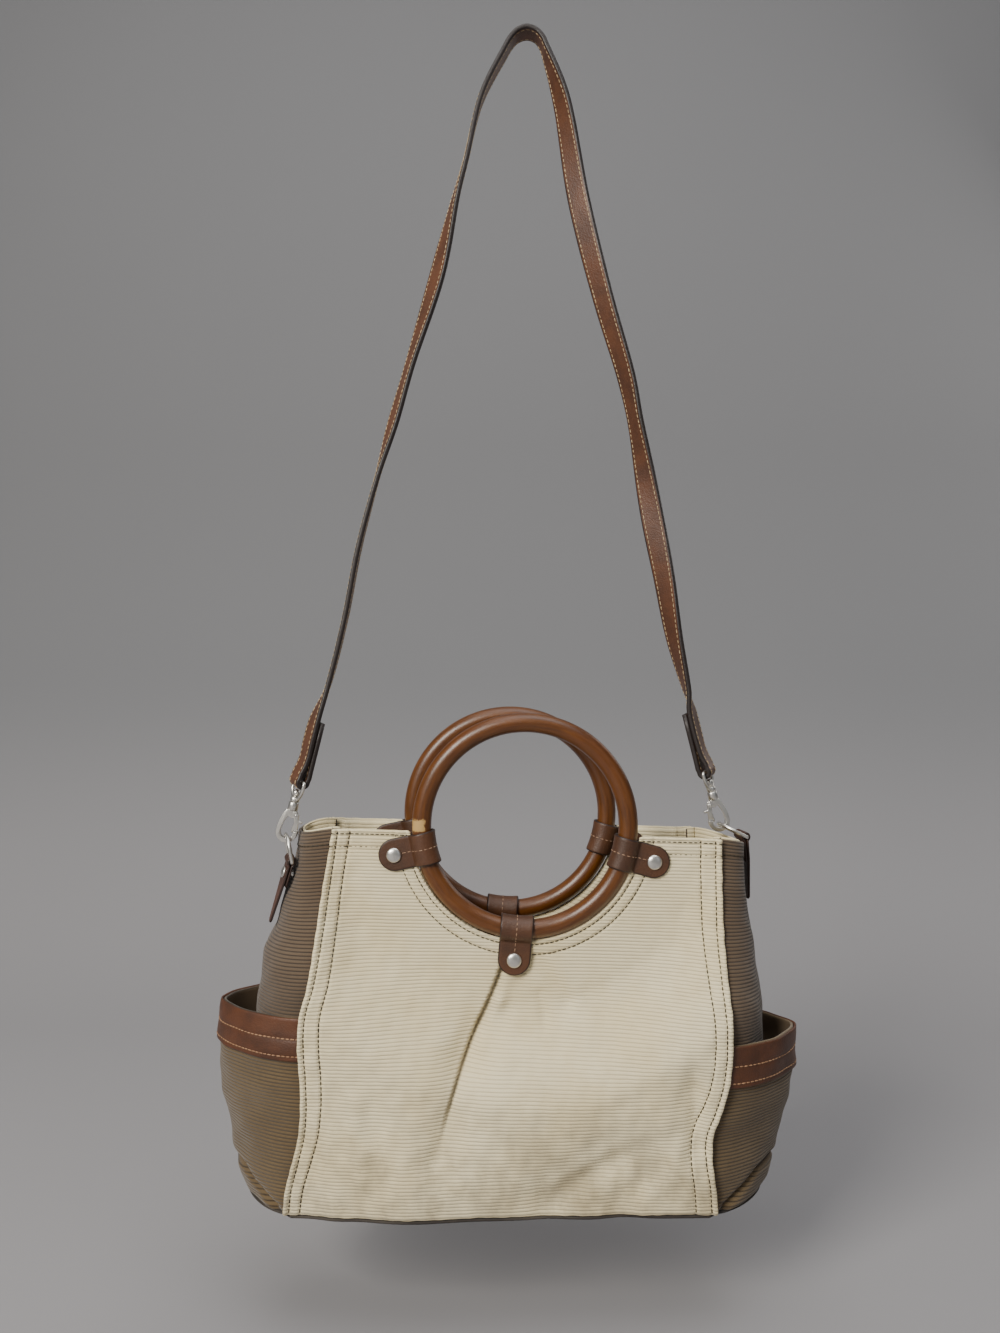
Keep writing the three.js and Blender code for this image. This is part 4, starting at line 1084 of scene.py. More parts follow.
# Ring handles
# Each is a turned ring of wood under thick amber lacquer. Its seam hides in the bottom tab, and the
# front one has lost its lacquer in a patch above the left tab.
tab_angles = {"left": 192.3, "right": 344.6, "bottom": 265.3}
ring_mesh_steps, tube_mesh_steps = 200, 36


def torus(name, centre, radius, tube, start):
    """A ring in the XZ plane, whose UV runs along it in metres and round its tube from 0 to 1."""
    major = np.radians(start) + np.linspace(0, math.tau, ring_mesh_steps, endpoint=False)
    minor = np.linspace(0, math.tau, tube_mesh_steps, endpoint=False)
    along, round_tube = np.meshgrid(major, minor, indexing="ij")
    out = radius + tube * np.cos(round_tube)
    points = np.stack([out * np.cos(along), tube * np.sin(round_tube), out * np.sin(along)], -1) + centre
    place = np.arange(ring_mesh_steps * tube_mesh_steps).reshape(ring_mesh_steps, tube_mesh_steps)
    ahead, above = np.roll(place, -1, 0), np.roll(place, -1, 1)
    faces = np.stack([place, above, np.roll(ahead, -1, 1), ahead], -1).reshape(-1, 4)
    piece = smooth_piece(name, points.reshape(-1, 3).tolist(), faces[:, ::-1].tolist())
    i, j = np.meshgrid(np.arange(ring_mesh_steps), np.arange(tube_mesh_steps), indexing="ij")
    corners = [(i, j), (i, j + 1), (i + 1, j + 1), (i + 1, j)][::-1]
    uv = [
        np.stack([a * math.tau * radius / ring_mesh_steps, b / tube_mesh_steps], -1).reshape(-1, 2)
        for a, b in corners
    ]
    piece.data.uv_layers.new(name="cloth").data.foreach_set("uv", np.stack(uv, 1).ravel())
    return piece


def lacquered_wood(name, worn_at=None):
    """Straight grain that follows the ring under clear amber lacquer, with a few fine scratches."""
    wood = Finish(name, roughness=0.42, coat_weight=0.3, coat_roughness=0.26)
    along, around, _ = wood.parts(wood.cloth_place())
    turned = around * math.tau
    ring = wood.vector(along * 9, turned.math("COSINE") * 0.42, turned.math("SINE") * 0.42)
    streak = wood.noise(ring, 5.0, 5.0, 0.65)
    fine = wood.vector(along * 60, turned.math("COSINE") * 6, turned.math("SINE") * 6)
    pores = wood.noise(fine, 9.0, 3.0)
    tone = wood.mix(streak.limited(0.25, 0.75), srgb(76, 41, 11), srgb(108, 63, 20))
    tone = wood.mix(pores.limited(0.52, 0.7) * 0.22, tone, srgb(58, 28, 7))
    place = wood.object_place()
    cloud = wood.noise(place, 30.0, 3.0)
    tone = wood.mix(cloud.limited(0.45, 0.75) * 0.35, tone, srgb(104, 53, 12))
    scuff = wood.noise(place, 260.0, 4.0, 0.7)
    rough = scuff.limited(0.5, 0.8) * 0.16 + 0.34
    if worn_at is not None:
        x, y, z = wood.parts(place)
        ragged = (wood.noise(place, 500.0, 3.0) - 0.5) * 0.004
        beside = (z - worn_at[2] + ragged).math("ABSOLUTE")
        across = (x - worn_at[0] + ragged).math("ABSOLUTE")
        front = 1 - (y - worn_at[1]).limited(-0.001, 0.001)
        worn = (1 - beside.limited(0.0034, 0.0046)) * (1 - across.limited(0.0038, 0.0050)) * front
        tone = wood.mix(worn * 0.8, tone, srgb(206, 168, 104))
        rough = rough + worn * 0.35
    return wood.finish(tone, roughness=rough, height=pores * 0.5 + streak, depth=0.00012)


for face, ring_name in ((-1, "front_ring"), (1, "back_ring")):
    centre_x, centre_z = ring_centre(face)
    middle = np.array([centre_x, face * ring_spacing / 2, centre_z + foot])
    ring = torus(ring_name + "_wood", middle, ring_radius, ring_tube / 2, tab_angles["bottom"])
    worn = middle + [-ring_radius - 0.002, -0.002, 0.001] if face < 0 else None
    ring.data.materials.append(lacquered_wood(ring_name + "_lacquer", worn))
    dress(ring, "bag", "lacquered_wood", ring_name)

# Leather tabs
# Three leather tabs hold each ring. A tab is folded round the ring, with the panel between its two
# round-ended leaves, sewn down its middle and riveted through. Its edges are painted dark.
tab_thickness = 0.0018
tab_width = 0.022
rivet_inset = 0.0105
tab_sag = ring_radius - math.sqrt(ring_radius**2 - (tab_width / 2) ** 2)
tab_centre = ring_radius - tab_sag / 2
tab_spread = canvas / 2 + gap
tab_inside = ring_tube / 2 + tab_sag / 2 + gap
tab_length = ring_diameter / 2 + tab_reach - tab_centre
rivet_radius = ring_diameter / 2 + tab_reach - rivet_inset
rivet_clear = 0.0065


def looped_path(inside, thickness, spread, front, back, ease=0.0012):
    """The outer line of a strip that loops round a bar at the origin: it comes in along one leaf,
    goes round the bar's far side and runs out along the other leaf. X is along the leaves."""
    outside = inside + thickness
    leaf = spread + thickness

    def rise(a):
        circle = np.sqrt(np.maximum(outside**2 - a**2, 0))
        return (circle + leaf + np.sqrt((circle - leaf) ** 2 + ease**2)) / 2 - ease * 0.1

    near = outside * 1.3
    come = np.concatenate([np.linspace(front, near, 26), np.linspace(near, 0, 26)[1:]])
    go = np.concatenate([np.linspace(0, near, 26), np.linspace(near, back, 26)[1:]])
    turn = np.radians(np.linspace(-90, -270, 34)[1:-1])
    a = np.concatenate([come, outside * np.cos(turn), go])
    b = np.concatenate([-rise(come), outside * np.sin(turn), rise(go)])
    return np.stack([a, b], -1)


def round_end(distance, half, least=0.0001):
    """The half width of a strip at a distance from its round end, which is at least a sliver."""
    inside = np.clip(half - distance, 0, half)
    return np.sqrt(np.maximum(half**2 - inside**2, least**2))


strip_columns_across = 17


def strip_grid(path, half_widths, frame_axes, origin, sag=lambda a, w: 0.0):
    """A strip's outer face from its side view and its half width at each point."""
    along, thick, wide = frame_axes
    grid = []
    for (a, b), half in zip(path, half_widths):
        w = np.linspace(-half, half, strip_columns_across)[:, None]
        grid.append(origin + (a + sag(a, w)) * along + b * thick + w * wide)
    grid = np.array(grid)
    steps = np.linalg.norm(np.diff(path, axis=0), axis=1)
    length = np.concatenate([[0], np.cumsum(steps)])
    across = np.linspace(-1, 1, strip_columns_across)[None] * np.array(half_widths)[:, None]
    return grid, np.stack([across, np.broadcast_to(length[:, None], across.shape)], -1)


def edge_paint(name, tone):
    """Dark paint on a cut edge, rubbed paler in places."""
    paint = Finish(name, roughness=0.45)
    wear = paint.noise(paint.object_place(), 300.0, 3.0)
    rubbed = tuple(min(1.0, c * 2.2) for c in tone[:3])
    tone = paint.mix(wear.limited(0.5, 0.75), tone, (*rubbed, 1))
    return paint.finish(tone, height=wear, depth=0.0002)


tab_leather = leather("tab_leather", srgb(86, 53, 31), srgb(66, 41, 25), srgb(108, 74, 47), 0.46)
tab_edge = edge_paint("tab_edge_paint", srgb(46, 30, 24))
faded_thread = waxed_thread("faded_thread", srgb(182, 150, 122), srgb(128, 96, 74))

for face, label in ((-1, "front"), (1, "back")):
    centre_x, centre_z = ring_centre(face)
    middle = np.array([centre_x, face * ring_spacing / 2, centre_z + foot])
    for where, degrees in tab_angles.items():
        angle = math.radians(degrees)
        along = np.array([math.cos(angle), 0, math.sin(angle)])
        wide = np.array([-math.sin(angle), 0, math.cos(angle)])
        thick = np.array([0, 1.0, 0])
        half = tab_width / 2 - tab_thickness / 2
        end_at = tab_length - tab_thickness / 2
        path = looped_path(tab_inside, tab_thickness, tab_spread, end_at, end_at)
        # The round ends get closer steps than the rest of the leaves.
        tip = half * (1 - np.cos(np.linspace(0.12, math.pi / 2, 14)))
        leaf_rise = np.full_like(tip, tab_spread + tab_thickness)
        front_tip = np.stack([end_at - tip, -leaf_rise], -1)
        back_tip = np.stack([end_at - tip[::-1], leaf_rise], -1)
        path = np.concatenate([front_tip, path[path[:, 0] < end_at - half], back_tip])
        halves = round_end(end_at - path[:, 0], half)

        def sag(a, w):
            """The fold follows the ring's own curve across the tab's width."""
            on_ring = 1 - smooth(a, 0.002, 0.010)
            return (np.sqrt(ring_radius**2 - w**2) - tab_centre) * on_ring

        tab_name = f"{label}_{where}_tab"
        origin = middle + along * tab_centre
        grid, uv = strip_grid(path, halves, (along, thick, wide), origin, sag)
        skins = [tab_leather, tab_edge]
        tab = shell(tab_name + "_leather", grid, tab_thickness, uv, 1, skins, rim_material=1)
        dress(tab, "bag", "tab_leather", tab_name)
        out = grid_normals(grid, 1)
        half_way = strip_columns_across // 2
        centre_line = grid[:, half_way] + out[:, half_way] * thread_lift
        sewn = path[:, 0] < rivet_radius - tab_centre - rivet_clear
        sew(
            tab_name + "_stitches", [centre_line[sewn]], faded_thread, "bag",
            length=0.0026, thickness=0.0006,
        )

# Rivets
# Domed nickel rivets clinch the tabs and the strap's anchors. One shape is repeated at each place.
rivet_shank = 0.004
rivet_cap = 0.010
rivet_dome = 0.0022
rivet_back = 0.001
round_steps = 28


def lathe(name, profile, steps):
    """A turned shape from a profile of (radius, height) that starts and ends on the Z axis."""
    turn = np.linspace(0, math.tau, steps, endpoint=False)
    rings = [(r * math.cos(a), r * math.sin(a), z) for r, z in profile[1:-1] for a in turn]
    points = [(0, 0, profile[0][1]), *rings, (0, 0, profile[-1][1])]
    count, last = len(profile) - 2, len(points) - 1
    faces = []
    for k in range(steps):
        after = (k + 1) % steps
        faces.append((0, 1 + after, 1 + k))
        faces.append((last, 1 + (count - 1) * steps + k, 1 + (count - 1) * steps + after))
        for r in range(count - 1):
            low, high = 1 + r * steps, 1 + (r + 1) * steps
            faces.append((low + k, low + after, high + after, high + k))
    return smooth_piece(name, points, faces)


def bored_lathe(name, profile, steps):
    """A turned shape with a hole, whose profile is a closed loop off the Z axis."""
    turn = np.linspace(0, math.tau, steps, endpoint=False)
    points = [(r * math.cos(a), r * math.sin(a), z) for r, z in profile for a in turn]
    count = len(profile)
    faces = []
    for r in range(count):
        for k in range(steps):
            after, above = (k + 1) % steps, (r + 1) % count
            faces.append((r * steps + k, r * steps + after, above * steps + after, above * steps + k))
    return smooth_piece(name, points, faces)


def rivet_profile(cap, grip, dome):
    """A flat inner cap below, the shank through the leather, and the dome on top."""
    shank = rivet_shank / 2
    bend = [
        (cap / 2 * math.cos(a), grip + dome * 0.27 + dome * 0.73 * math.sin(a))
        for a in np.linspace(0, math.pi / 2, 12)
    ]
    low = [(0, -rivet_back), (cap * 0.36, -rivet_back), (cap * 0.4, -rivet_back * 0.6), (cap * 0.4, 0)]
    return [*low, (shank, 0), (shank, grip), (cap / 2 - 0.0003, grip), (cap / 2, grip + 0.0003), *bend]


def make_rivet_tree():
    """Copies of one rivet, each with its Z turned to the aim of its point."""
    tree = Tree("rivets", Rivet="Object", Metal="Material")
    aim = tree.node("GeometryNodeInputNamedAttribute", {"Name": "aim"}, data_type="FLOAT_VECTOR")
    turned = tree.node("FunctionNodeAlignRotationToVector", {"Vector": aim["Attribute"]}, axis="Z")
    rivet = tree.node("GeometryNodeObjectInfo", {"Object": tree.inputs["Rivet"], "As Instance": True})
    copies = tree.node(
        "GeometryNodeInstanceOnPoints",
        {"Points": tree.inputs["Geometry"], "Instance": rivet["Geometry"], "Rotation": turned[0]},
    )
    return tree.finish(copies["Instances"], tree.inputs["Metal"])


rivet_tree = make_rivet_tree()


def nickel(name, tone, roughness):
    """Polished nickel plate with light scuffs and duller patches."""
    metal = Finish(name, metallic=1.0)
    place = metal.object_place()
    patch = metal.noise(place, 120.0, 3.0)
    scuff = metal.noise(place, 1500.0, 4.0, 0.7)
    dull = tuple(c * 0.72 for c in tone[:3])
    colour = metal.mix(patch.limited(0.45, 0.7), tone, (*dull, 1))
    rough = patch * 0.16 + scuff * 0.10 + roughness
    return metal.finish(colour, roughness=rough, height=scuff, depth=0.00004)


bright_nickel = nickel("bright_nickel", srgb(232, 229, 222), 0.20)


def set_rivets(name, places, aims, cap, grip, dome, nodes):
    """One piece with a rivet at each place: its shank starts there and its dome points along aim."""
    pattern = lathe(name + "_pattern", rivet_profile(cap, grip, dome), round_steps)
    mesh = bpy.data.meshes.new(name + "_places")
    mesh.from_pydata([tuple(place) for place in places], [], [])
    mesh.attributes.new("aim", "FLOAT_VECTOR", "POINT").data.foreach_set("vector", np.ravel(aims))
    piece = grow(put(name + "_places", mesh), name, rivet_tree, Rivet=pattern, Metal=bright_nickel)
    bpy.data.objects.remove(pattern)
    dress(piece, "bag", "nickel", *nodes)


for face, label in ((-1, "front"), (1, "back")):
    centre_x, centre_z = ring_centre(face)
    reach = tab_spread + tab_thickness
    places = []
    for degrees in tab_angles.values():
        angle = math.radians(degrees)
        x = centre_x + rivet_radius * math.cos(angle)
        z = centre_z + foot + rivet_radius * math.sin(angle)
        places.append((x, face * (ring_spacing / 2 - reach), z))
    nodes = [f"{label}_{where}_rivet" for where in tab_angles]
    aims = [(0, face, 0)] * 3
    set_rivets(f"{label}_rivets", places, aims, rivet_cap, 2 * reach, rivet_dome + gap, nodes)

# Anchors
# A pointed leather strap hangs on each gusset: folded round the D-ring's bar and riveted through
# the gusset and its facing. The places of the bars follow from the gates' hinges, which are joints.
d_ring_inside = 0.016
d_ring_length = 0.0175
d_ring_wire = 0.0026
anchor_width = 0.015
anchor_length = 0.045
anchor_thickness = 0.0016
anchor_rivet_drop = 0.009
anchor_rivet_cap = 0.008
anchor_spread = gap / 2
anchor_inside = d_ring_wire / 2 + gap
anchor_out = anchor_inside + anchor_thickness + gap
anchor_turns = {-1: 20, 1: 0}
anchor_bars = {-1: 0.907, 1: 0.995}
d_ring_leans = {-1: -10, 1: 63}

# The snap hooks' sizes, on which the D-rings' and anchors' places depend.
hook_bowl = 0.009
hook_metal = 0.0028
hook_thickness = 0.005
hook_barrel = 0.007
barrel_foot = 0.015
barrel_top = 0.021
hook_post = 0.003
hook_ball = 0.0052
hook_tilt = math.radians(14)
seat_gap = 0.001
gate_thickness = 0.0024
gate_pin = 0.0016
pin_proud = 0.0001
gate_pivot = np.array([0.0036, 0.0, 0.0123])
eye_inside = 0.0175
eye_length = 0.013
eye_wire = 0.0024
eye_collar = 0.0064
eye_collar_height = 0.003
strap_end_turns = {-1: math.radians(30), 1: math.radians(-25)}
hinges = {joint["name"]: joint["pos_m"] for joint in frame["joints"]}


def hook_frame(side):
    """The axes of a snap hook, as columns, and the middle of its bowl."""
    c, s = math.cos(hook_tilt), math.sin(hook_tilt)
    axes = np.array([[-side * c, 0, -s], [0, -side, 0], [-side * s, 0, c]]).T
    hinge = np.array(hinges[side_names[side] + "_gate_hinge"])
    return axes, hinge - axes @ gate_pivot


def anchor_frame(side):
    """The axes of an anchor (down, inward, across), the middle of its bar and the D-ring's rise."""
    axes, bowl = hook_frame(side)
    lean = math.radians(d_ring_leans[side])
    rise = np.array([-side * math.sin(lean), 0, math.cos(lean)])
    wire_top = bowl - axes[:, 2] * (hook_bowl / 2 - d_ring_wire / 2 - seat_gap)
    bar = wire_top - rise * d_ring_length
    side_top = panel_height - (0 if side < 0 else top_fall)
    at = np.searchsorted(gusset_stations, 90 - anchor_turns[side])

    def surface(h):
        plan = gusset_outline(side, h, gusset_stations, [])
        way = plan[at + 1] - plan[at - 1]
        out = np.array([way[1], -way[0], 0]) * side
        return np.array([*plan[at], h * side_top + foot]), out / np.linalg.norm(out)

    foot_place, foot_out = surface(anchor_bars[side] - anchor_length / panel_height)
    top_out = surface(anchor_bars[side])[1]
    down = foot_place + foot_out * anchor_out - bar
    down /= np.linalg.norm(down)
    out = top_out - down * (top_out @ down)
    out /= np.linalg.norm(out)
    rivet_place = surface(anchor_bars[side] - anchor_rivet_drop / panel_height)[0]
    cloth = -(rivet_place - bar) @ out
    return np.array([down, -out, np.cross(down, -out)]).T, bar, rise, cloth


# A darker copy of the tabs' leather: painted shade on the anchors, which hang in shadow on the gussets.
shaded_anchor_leather = leather(
    "shaded_anchor_leather", srgb(82, 48, 32), srgb(58, 34, 23), srgb(106, 69, 48), 0.45
)

for side, side_name in side_names.items():
    axes, bar, _, cloth = anchor_frame(side)
    back = anchor_rivet_drop + anchor_rivet_cap
    end_at = anchor_length - anchor_thickness / 2
    path = looped_path(anchor_inside, anchor_thickness, anchor_spread, end_at, back)
    half = (anchor_width - anchor_thickness) / 2
    taper = [anchor_length * 0.35, anchor_length - half * 0.35, anchor_length]
    halves = np.interp(path[:, 0], taper, [half, half * 0.35, 0.0002])
    grid, uv = strip_grid(path, halves, axes.T, bar)
    anchor_name = f"{side_name}_anchor"
    skins = [shaded_anchor_leather, tab_edge]
    strip = shell(anchor_name + "_leather", grid, anchor_thickness, uv, 1, skins, rim_material=1)
    dress(strip, "bag", "tab_leather", anchor_name)
    inner = max(cloth, anchor_out) + canvas + gap + facing_thickness + 2 * gap
    outer = anchor_spread + anchor_thickness
    place = bar + axes[:, 0] * anchor_rivet_drop + axes[:, 1] * inner
    set_rivets(
        anchor_name + "_rivet_metal", [place], [-axes[:, 1]],
        anchor_rivet_cap, inner + outer, rivet_dome, [anchor_name + "_rivet"],
    )

# D-rings and swivel eyes
# Both are loops of nickel wire with one straight bar and a round bow. An eye's bow ends in a bored
# collar that turns on the snap hook's post.


def loop_path(inside, length, wire):
    """A wire's centre line in the XZ plane: its bar at the origin along X and its bow at Z = length."""
    bow = (inside + wire) / 2
    corner = wire * 0.6
    low = np.radians(np.linspace(-90, 0, 8))
    right = np.stack([bow - corner + corner * np.cos(low), corner + corner * np.sin(low)], -1)
    top = np.radians(np.linspace(0, 180, 40))
    arc = np.stack([bow * np.cos(top), length - bow + bow * np.sin(top)], -1)
    left = right[::-1] * [-1, 1]
    flat = np.concatenate([right, arc, left])
    return np.c_[flat[:, 0], np.zeros(len(flat)), flat[:, 1]]


def make_wire_tree():
    """Round wire along a curve."""
    tree = Tree("wires", Radius="Float", Metal="Material")
    section = tree.node(
        "GeometryNodeCurvePrimitiveCircle", {"Resolution": 16, "Radius": tree.inputs["Radius"]}
    )
    wire = tree.node(
        "GeometryNodeCurveToMesh", {"Curve": tree.inputs["Geometry"], "Profile Curve": section[0]}
    )
    smooth_wire = tree.node("GeometryNodeSetShadeSmooth", {"Geometry": wire[0]})
    return tree.finish(smooth_wire[0], tree.inputs["Metal"])


wire_tree = make_wire_tree()


def wire_loop(name, points, wire):
    line = drawn(name + "_line", [points], closed=True)
    return grow(line, name, wire_tree, Radius=wire / 2, Metal=bright_nickel)


def merge(name, pieces, placed):
    """One metal piece from several, whose points are moved by placed."""
    whole = bmesh.new()
    for piece in pieces:
        whole.from_mesh(piece.data)
        bpy.data.objects.remove(piece)
    for vertex in whole.verts:
        vertex.co = placed(np.array(vertex.co))
    mesh = bpy.data.meshes.new(name)
    whole.to_mesh(mesh)
    whole.free()
    mesh.materials.append(bright_nickel)
    return put(name, mesh)


bar_height = barrel_top + gap + eye_collar_height / 2 + eye_length
strap_ends = {}

for side, side_name in side_names.items():
    axes, bar, rise, _ = anchor_frame(side)
    across = axes[:, 2]
    points = loop_path(d_ring_inside, d_ring_length, d_ring_wire)
    placed = bar + points[:, :1] * across + points[:, 2:] * rise
    d_ring = wire_loop(f"{side_name}_d_ring_wire", placed, d_ring_wire)
    dress(d_ring, "bag", "nickel", f"{side_name}_d_ring")

    hook_axes, bowl = hook_frame(side)
    upright = hook_axes[:, 2]
    level = np.array([math.cos(hook_tilt), 0, side * math.sin(hook_tilt)])
    end_turn = strap_end_turns[side] - math.pi / 2
    bar_way = level * math.cos(end_turn) + np.array([0, math.sin(end_turn), 0])
    deep = np.cross(upright, bar_way)
    end = bowl + upright * bar_height
    strap_ends[side] = (end, upright)
    eye_loop = wire_loop("eye_loop", loop_path(eye_inside, eye_length, eye_wire), eye_wire)
    half, bore = eye_collar / 2, hook_post / 2 + gap
    rim = eye_collar_height / 2
    soft = 0.0004
    profile = [(bore, -rim), (half - soft, -rim), (half, -rim + soft)]
    profile += [(half, rim - soft), (half - soft, rim), (bore, rim)]
    collar = bored_lathe("eye_collar", [(r, h + eye_length) for r, h in profile], 24)
    eye = merge(
        f"{side_name}_snap_eye_metal", [eye_loop, collar],
        lambda v: end + v[0] * bar_way + v[1] * deep - v[2] * upright,
    )
    dress(eye, "bag", "nickel", f"{side_name}_snap_eye")

# Snap hooks and their gates
# Each hook is a cast nickel bowl under a turned barrel and ball. Its gate is a thumb lever that
# closes the bowl, swings on a pin between two cheeks, and rides on the hinge's own body.


def arc(radius, first, last, count, middle=(0, 0)):
    angles = np.radians(np.linspace(first, last, count))
    return [(middle[0] + radius * math.cos(a), middle[1] + radius * math.sin(a)) for a in angles]


def bend(start, pull, end, count=12):
    """A quadratic curve's points."""
    t = np.linspace(0, 1, count)[:, None]
    way = (1 - t) ** 2 * np.array(start) + 2 * t * (1 - t) * np.array(pull) + t**2 * np.array(end)
    return [tuple(point) for point in way]


def rounded_plate(name, outline, thickness, rounding, y=0.0):
    """A plate whose outline lies in the XZ plane, with rounded edges."""
    count = len(outline)
    points = [(x, y + at, z) for at in (-thickness / 2, thickness / 2) for x, z in outline]
    faces = [tuple(range(count)), tuple(reversed(range(count, 2 * count)))]
    faces += [(i, count + i, count + (i + 1) % count, (i + 1) % count) for i in range(count)]
    mesh = bpy.data.meshes.new(name)
    mesh.from_pydata(points, [], faces)
    whole = bmesh.new()
    whole.from_mesh(mesh)
    bmesh.ops.recalc_face_normals(whole, faces=whole.faces)
    whole.to_mesh(mesh)
    whole.free()
    mesh.shade_smooth()
    source = put(name + "_plain", mesh)
    edges = source.modifiers.new("edges", "BEVEL")
    edges.width = rounding
    edges.segments = 4
    edges.limit_method = "ANGLE"
    edges.angle_limit = math.radians(40)
    return plain_mesh(source, name)


def hook_parts():
    """The bowl with its slot, the two cheeks beside the gate, and the turned barrel with its ball."""
    inner, outer = hook_bowl / 2, hook_bowl / 2 + hook_metal
    half = hook_barrel / 2
    x, z = gate_pivot[0], gate_pivot[2]
    slot_foot, slot_top = z - hook_metal * 0.9, z + hook_metal * 0.9
    slot_end = x - hook_metal * 0.8
    body = arc(outer, 15, -180, 44)
    body += bend((-outer, 0), (-outer, barrel_foot * 0.55), (-half, barrel_foot + 0.0004))[1:]
    body += [(half, barrel_foot + 0.0004), (half, slot_top), (slot_end, slot_top), (slot_end, slot_foot)]
    body += bend((-half * 0.4, z - hook_metal * 0.4), (-inner, barrel_foot * 0.4), (-inner, 0))
    body += arc(inner, 180, 375, 36)[1:]
    cheek = [(slot_end - 0.001, slot_top), (half, slot_top), (x + hook_metal * 0.7, z)]
    cheek += [(x + hook_metal * 0.6, z - hook_metal * 0.7), (slot_end - 0.001, z - hook_metal * 0.7)]
    depth = (hook_thickness - gate_thickness) / 2 - gap
    middle = hook_thickness / 2 - depth / 2 - pin_proud
    cheeks = [rounded_plate("cheek", cheek, depth, 0.0003, y) for y in (-middle, middle)]
    ball = hook_ball / 2
    collar_top = barrel_top + 2 * gap + eye_collar_height
    turned = [(0, barrel_foot), (half - 0.0006, barrel_foot), (half, barrel_foot + 0.0006)]
    turned += [(half, barrel_top - 0.0008), (half - 0.0003, barrel_top - 0.0003)]
    turned += [(half - 0.0009, barrel_top), (hook_post / 2, barrel_top), (hook_post / 2, collar_top)]
    turned += arc(ball, -52, 90, 14, (0, collar_top + ball))[:-1]
    turned += [(0, collar_top + 2 * ball)]
    bowl = rounded_plate("bowl", body, hook_thickness, 0.0011)
    return [bowl, *cheeks, lathe("barrel", turned, round_steps)]


def gate_parts():
    """The thumb lever that closes the bowl, and the pin that it swings on."""
    x, z = gate_pivot[0], gate_pivot[2]
    inner, outer, metal = hook_bowl / 2, hook_bowl / 2 + hook_metal, hook_metal
    nose = outer * math.sin(math.radians(15)) + gap
    lip = inner - 1.5 * gap
    lever = [
        (x - metal * 0.5, z + metal * 0.4), (x + metal * 0.45, z + metal * 0.45),
        (x + metal * 0.65, z - metal * 0.1), (x + metal * 0.85, z * 0.73),
        (x + metal * 1.8, z * 0.72), (x + metal * 1.85, z * 0.6), (x + metal * 0.95, z * 0.58),
        (outer * 0.92, nose), (lip + gap / 3, nose), (lip, metal * 0.12),
        (lip - metal * 0.5, metal * 0.12), (lip - metal * 0.45, nose + metal * 0.4),
        (x - metal * 0.1, z * 0.6), (x - metal * 0.55, z - metal * 0.4),
    ]
    end = hook_thickness / 2 + pin_proud
    pin = [(0, -end), (gate_pin / 2, -end), (gate_pin / 2, end), (0, end)]
    rod = lathe("pin", pin, 16)
    for vertex in rod.data.vertices:
        vertex.co = (x + vertex.co.x, vertex.co.z, z - vertex.co.y)
    return [rounded_plate("lever", lever, gate_thickness, 0.0005), rod]


for side, side_name in side_names.items():
    axes, bowl = hook_frame(side)
    for parts, label, body in (
        (hook_parts(), "snap_hook", "bag"),
        (gate_parts(), "snap_gate", f"{side_name}_gate"),
    ):
        metal = merge(f"{side_name}_{label}_metal", parts, lambda v: bowl + axes @ v)
        dress(metal, body, "nickel", f"{side_name}_{label}")

# Strap
# One flat leather strap, two layers thick, sewn along both edges with cream thread and painted dark
# on them. Each end is folded round an eye's bar and sewn back on the strap's inner side.
strap_width = 0.0165
strap_thickness = 0.0034
strap_fold = 0.042
strap_pitch = 0.0036
strap_rise = 0.0018
strap_steps = 12
strap_seam_inset = 0.0026
fold_reach = 0.022

# Drop is a share of the height from the top to the left eye, side a share of the eye's own x.
strap_left = [
    {"drop": 0.004, "side": 0.042, "turn": 0},
    {"drop": 0.013, "side": 0.072, "turn": 0},
    {"drop": 0.030, "side": 0.105, "turn": 0},
    {"drop": 0.090, "side": 0.205, "turn": 4},
    {"drop": 0.175, "side": 0.275, "turn": 10},
    {"drop": 0.225, "side": 0.320, "turn": 18},
    {"drop": 0.330, "side": 0.402, "turn": 42},
    {"drop": 0.450, "side": 0.522, "turn": 26},
    {"drop": 0.530, "side": 0.598, "turn": 28},
    {"drop": 0.600, "side": 0.664, "turn": 10},
    {"drop": 0.695, "side": 0.745, "turn": 4},
    {"drop": 0.790, "side": 0.805, "turn": 4},
    {"drop": 0.880, "side": 0.880, "turn": 8},
]
strap_right = [
    {"drop": 0.004, "side": 0.050, "turn": 0},
    {"drop": 0.013, "side": 0.082, "turn": 3},
    {"drop": 0.030, "side": 0.110, "turn": 8},
    {"drop": 0.090, "side": 0.190, "turn": 34},
    {"drop": 0.225, "side": 0.288, "turn": 56},
    {"drop": 0.357, "side": 0.424, "turn": 47},
    {"drop": 0.465, "side": 0.555, "turn": 36},
    {"drop": 0.530, "side": 0.610, "turn": 28},
    {"drop": 0.650, "side": 0.697, "turn": 62},
    {"drop": 0.730, "side": 0.762, "turn": 50},
    {"drop": 0.815, "side": 0.822, "turn": 29},
    {"drop": 0.885, "side": 0.892, "turn": 2},
]


def strap_branch(side, table):
    """The places and turns of one half of the strap, from its top to the eye."""
    end, upright = strap_ends[side]
    height = -strap_ends[-1][0][2]
    way = [
        ([row["side"] * end[0], row["side"] ** 2 * end[1], strap_rise - row["drop"] * height], row["turn"])
        for row in table
    ]
    turn = math.degrees(strap_end_turns[side])
    return way + [(end + upright * strap_fold, turn), (end + upright * strap_rise * 2, turn)]


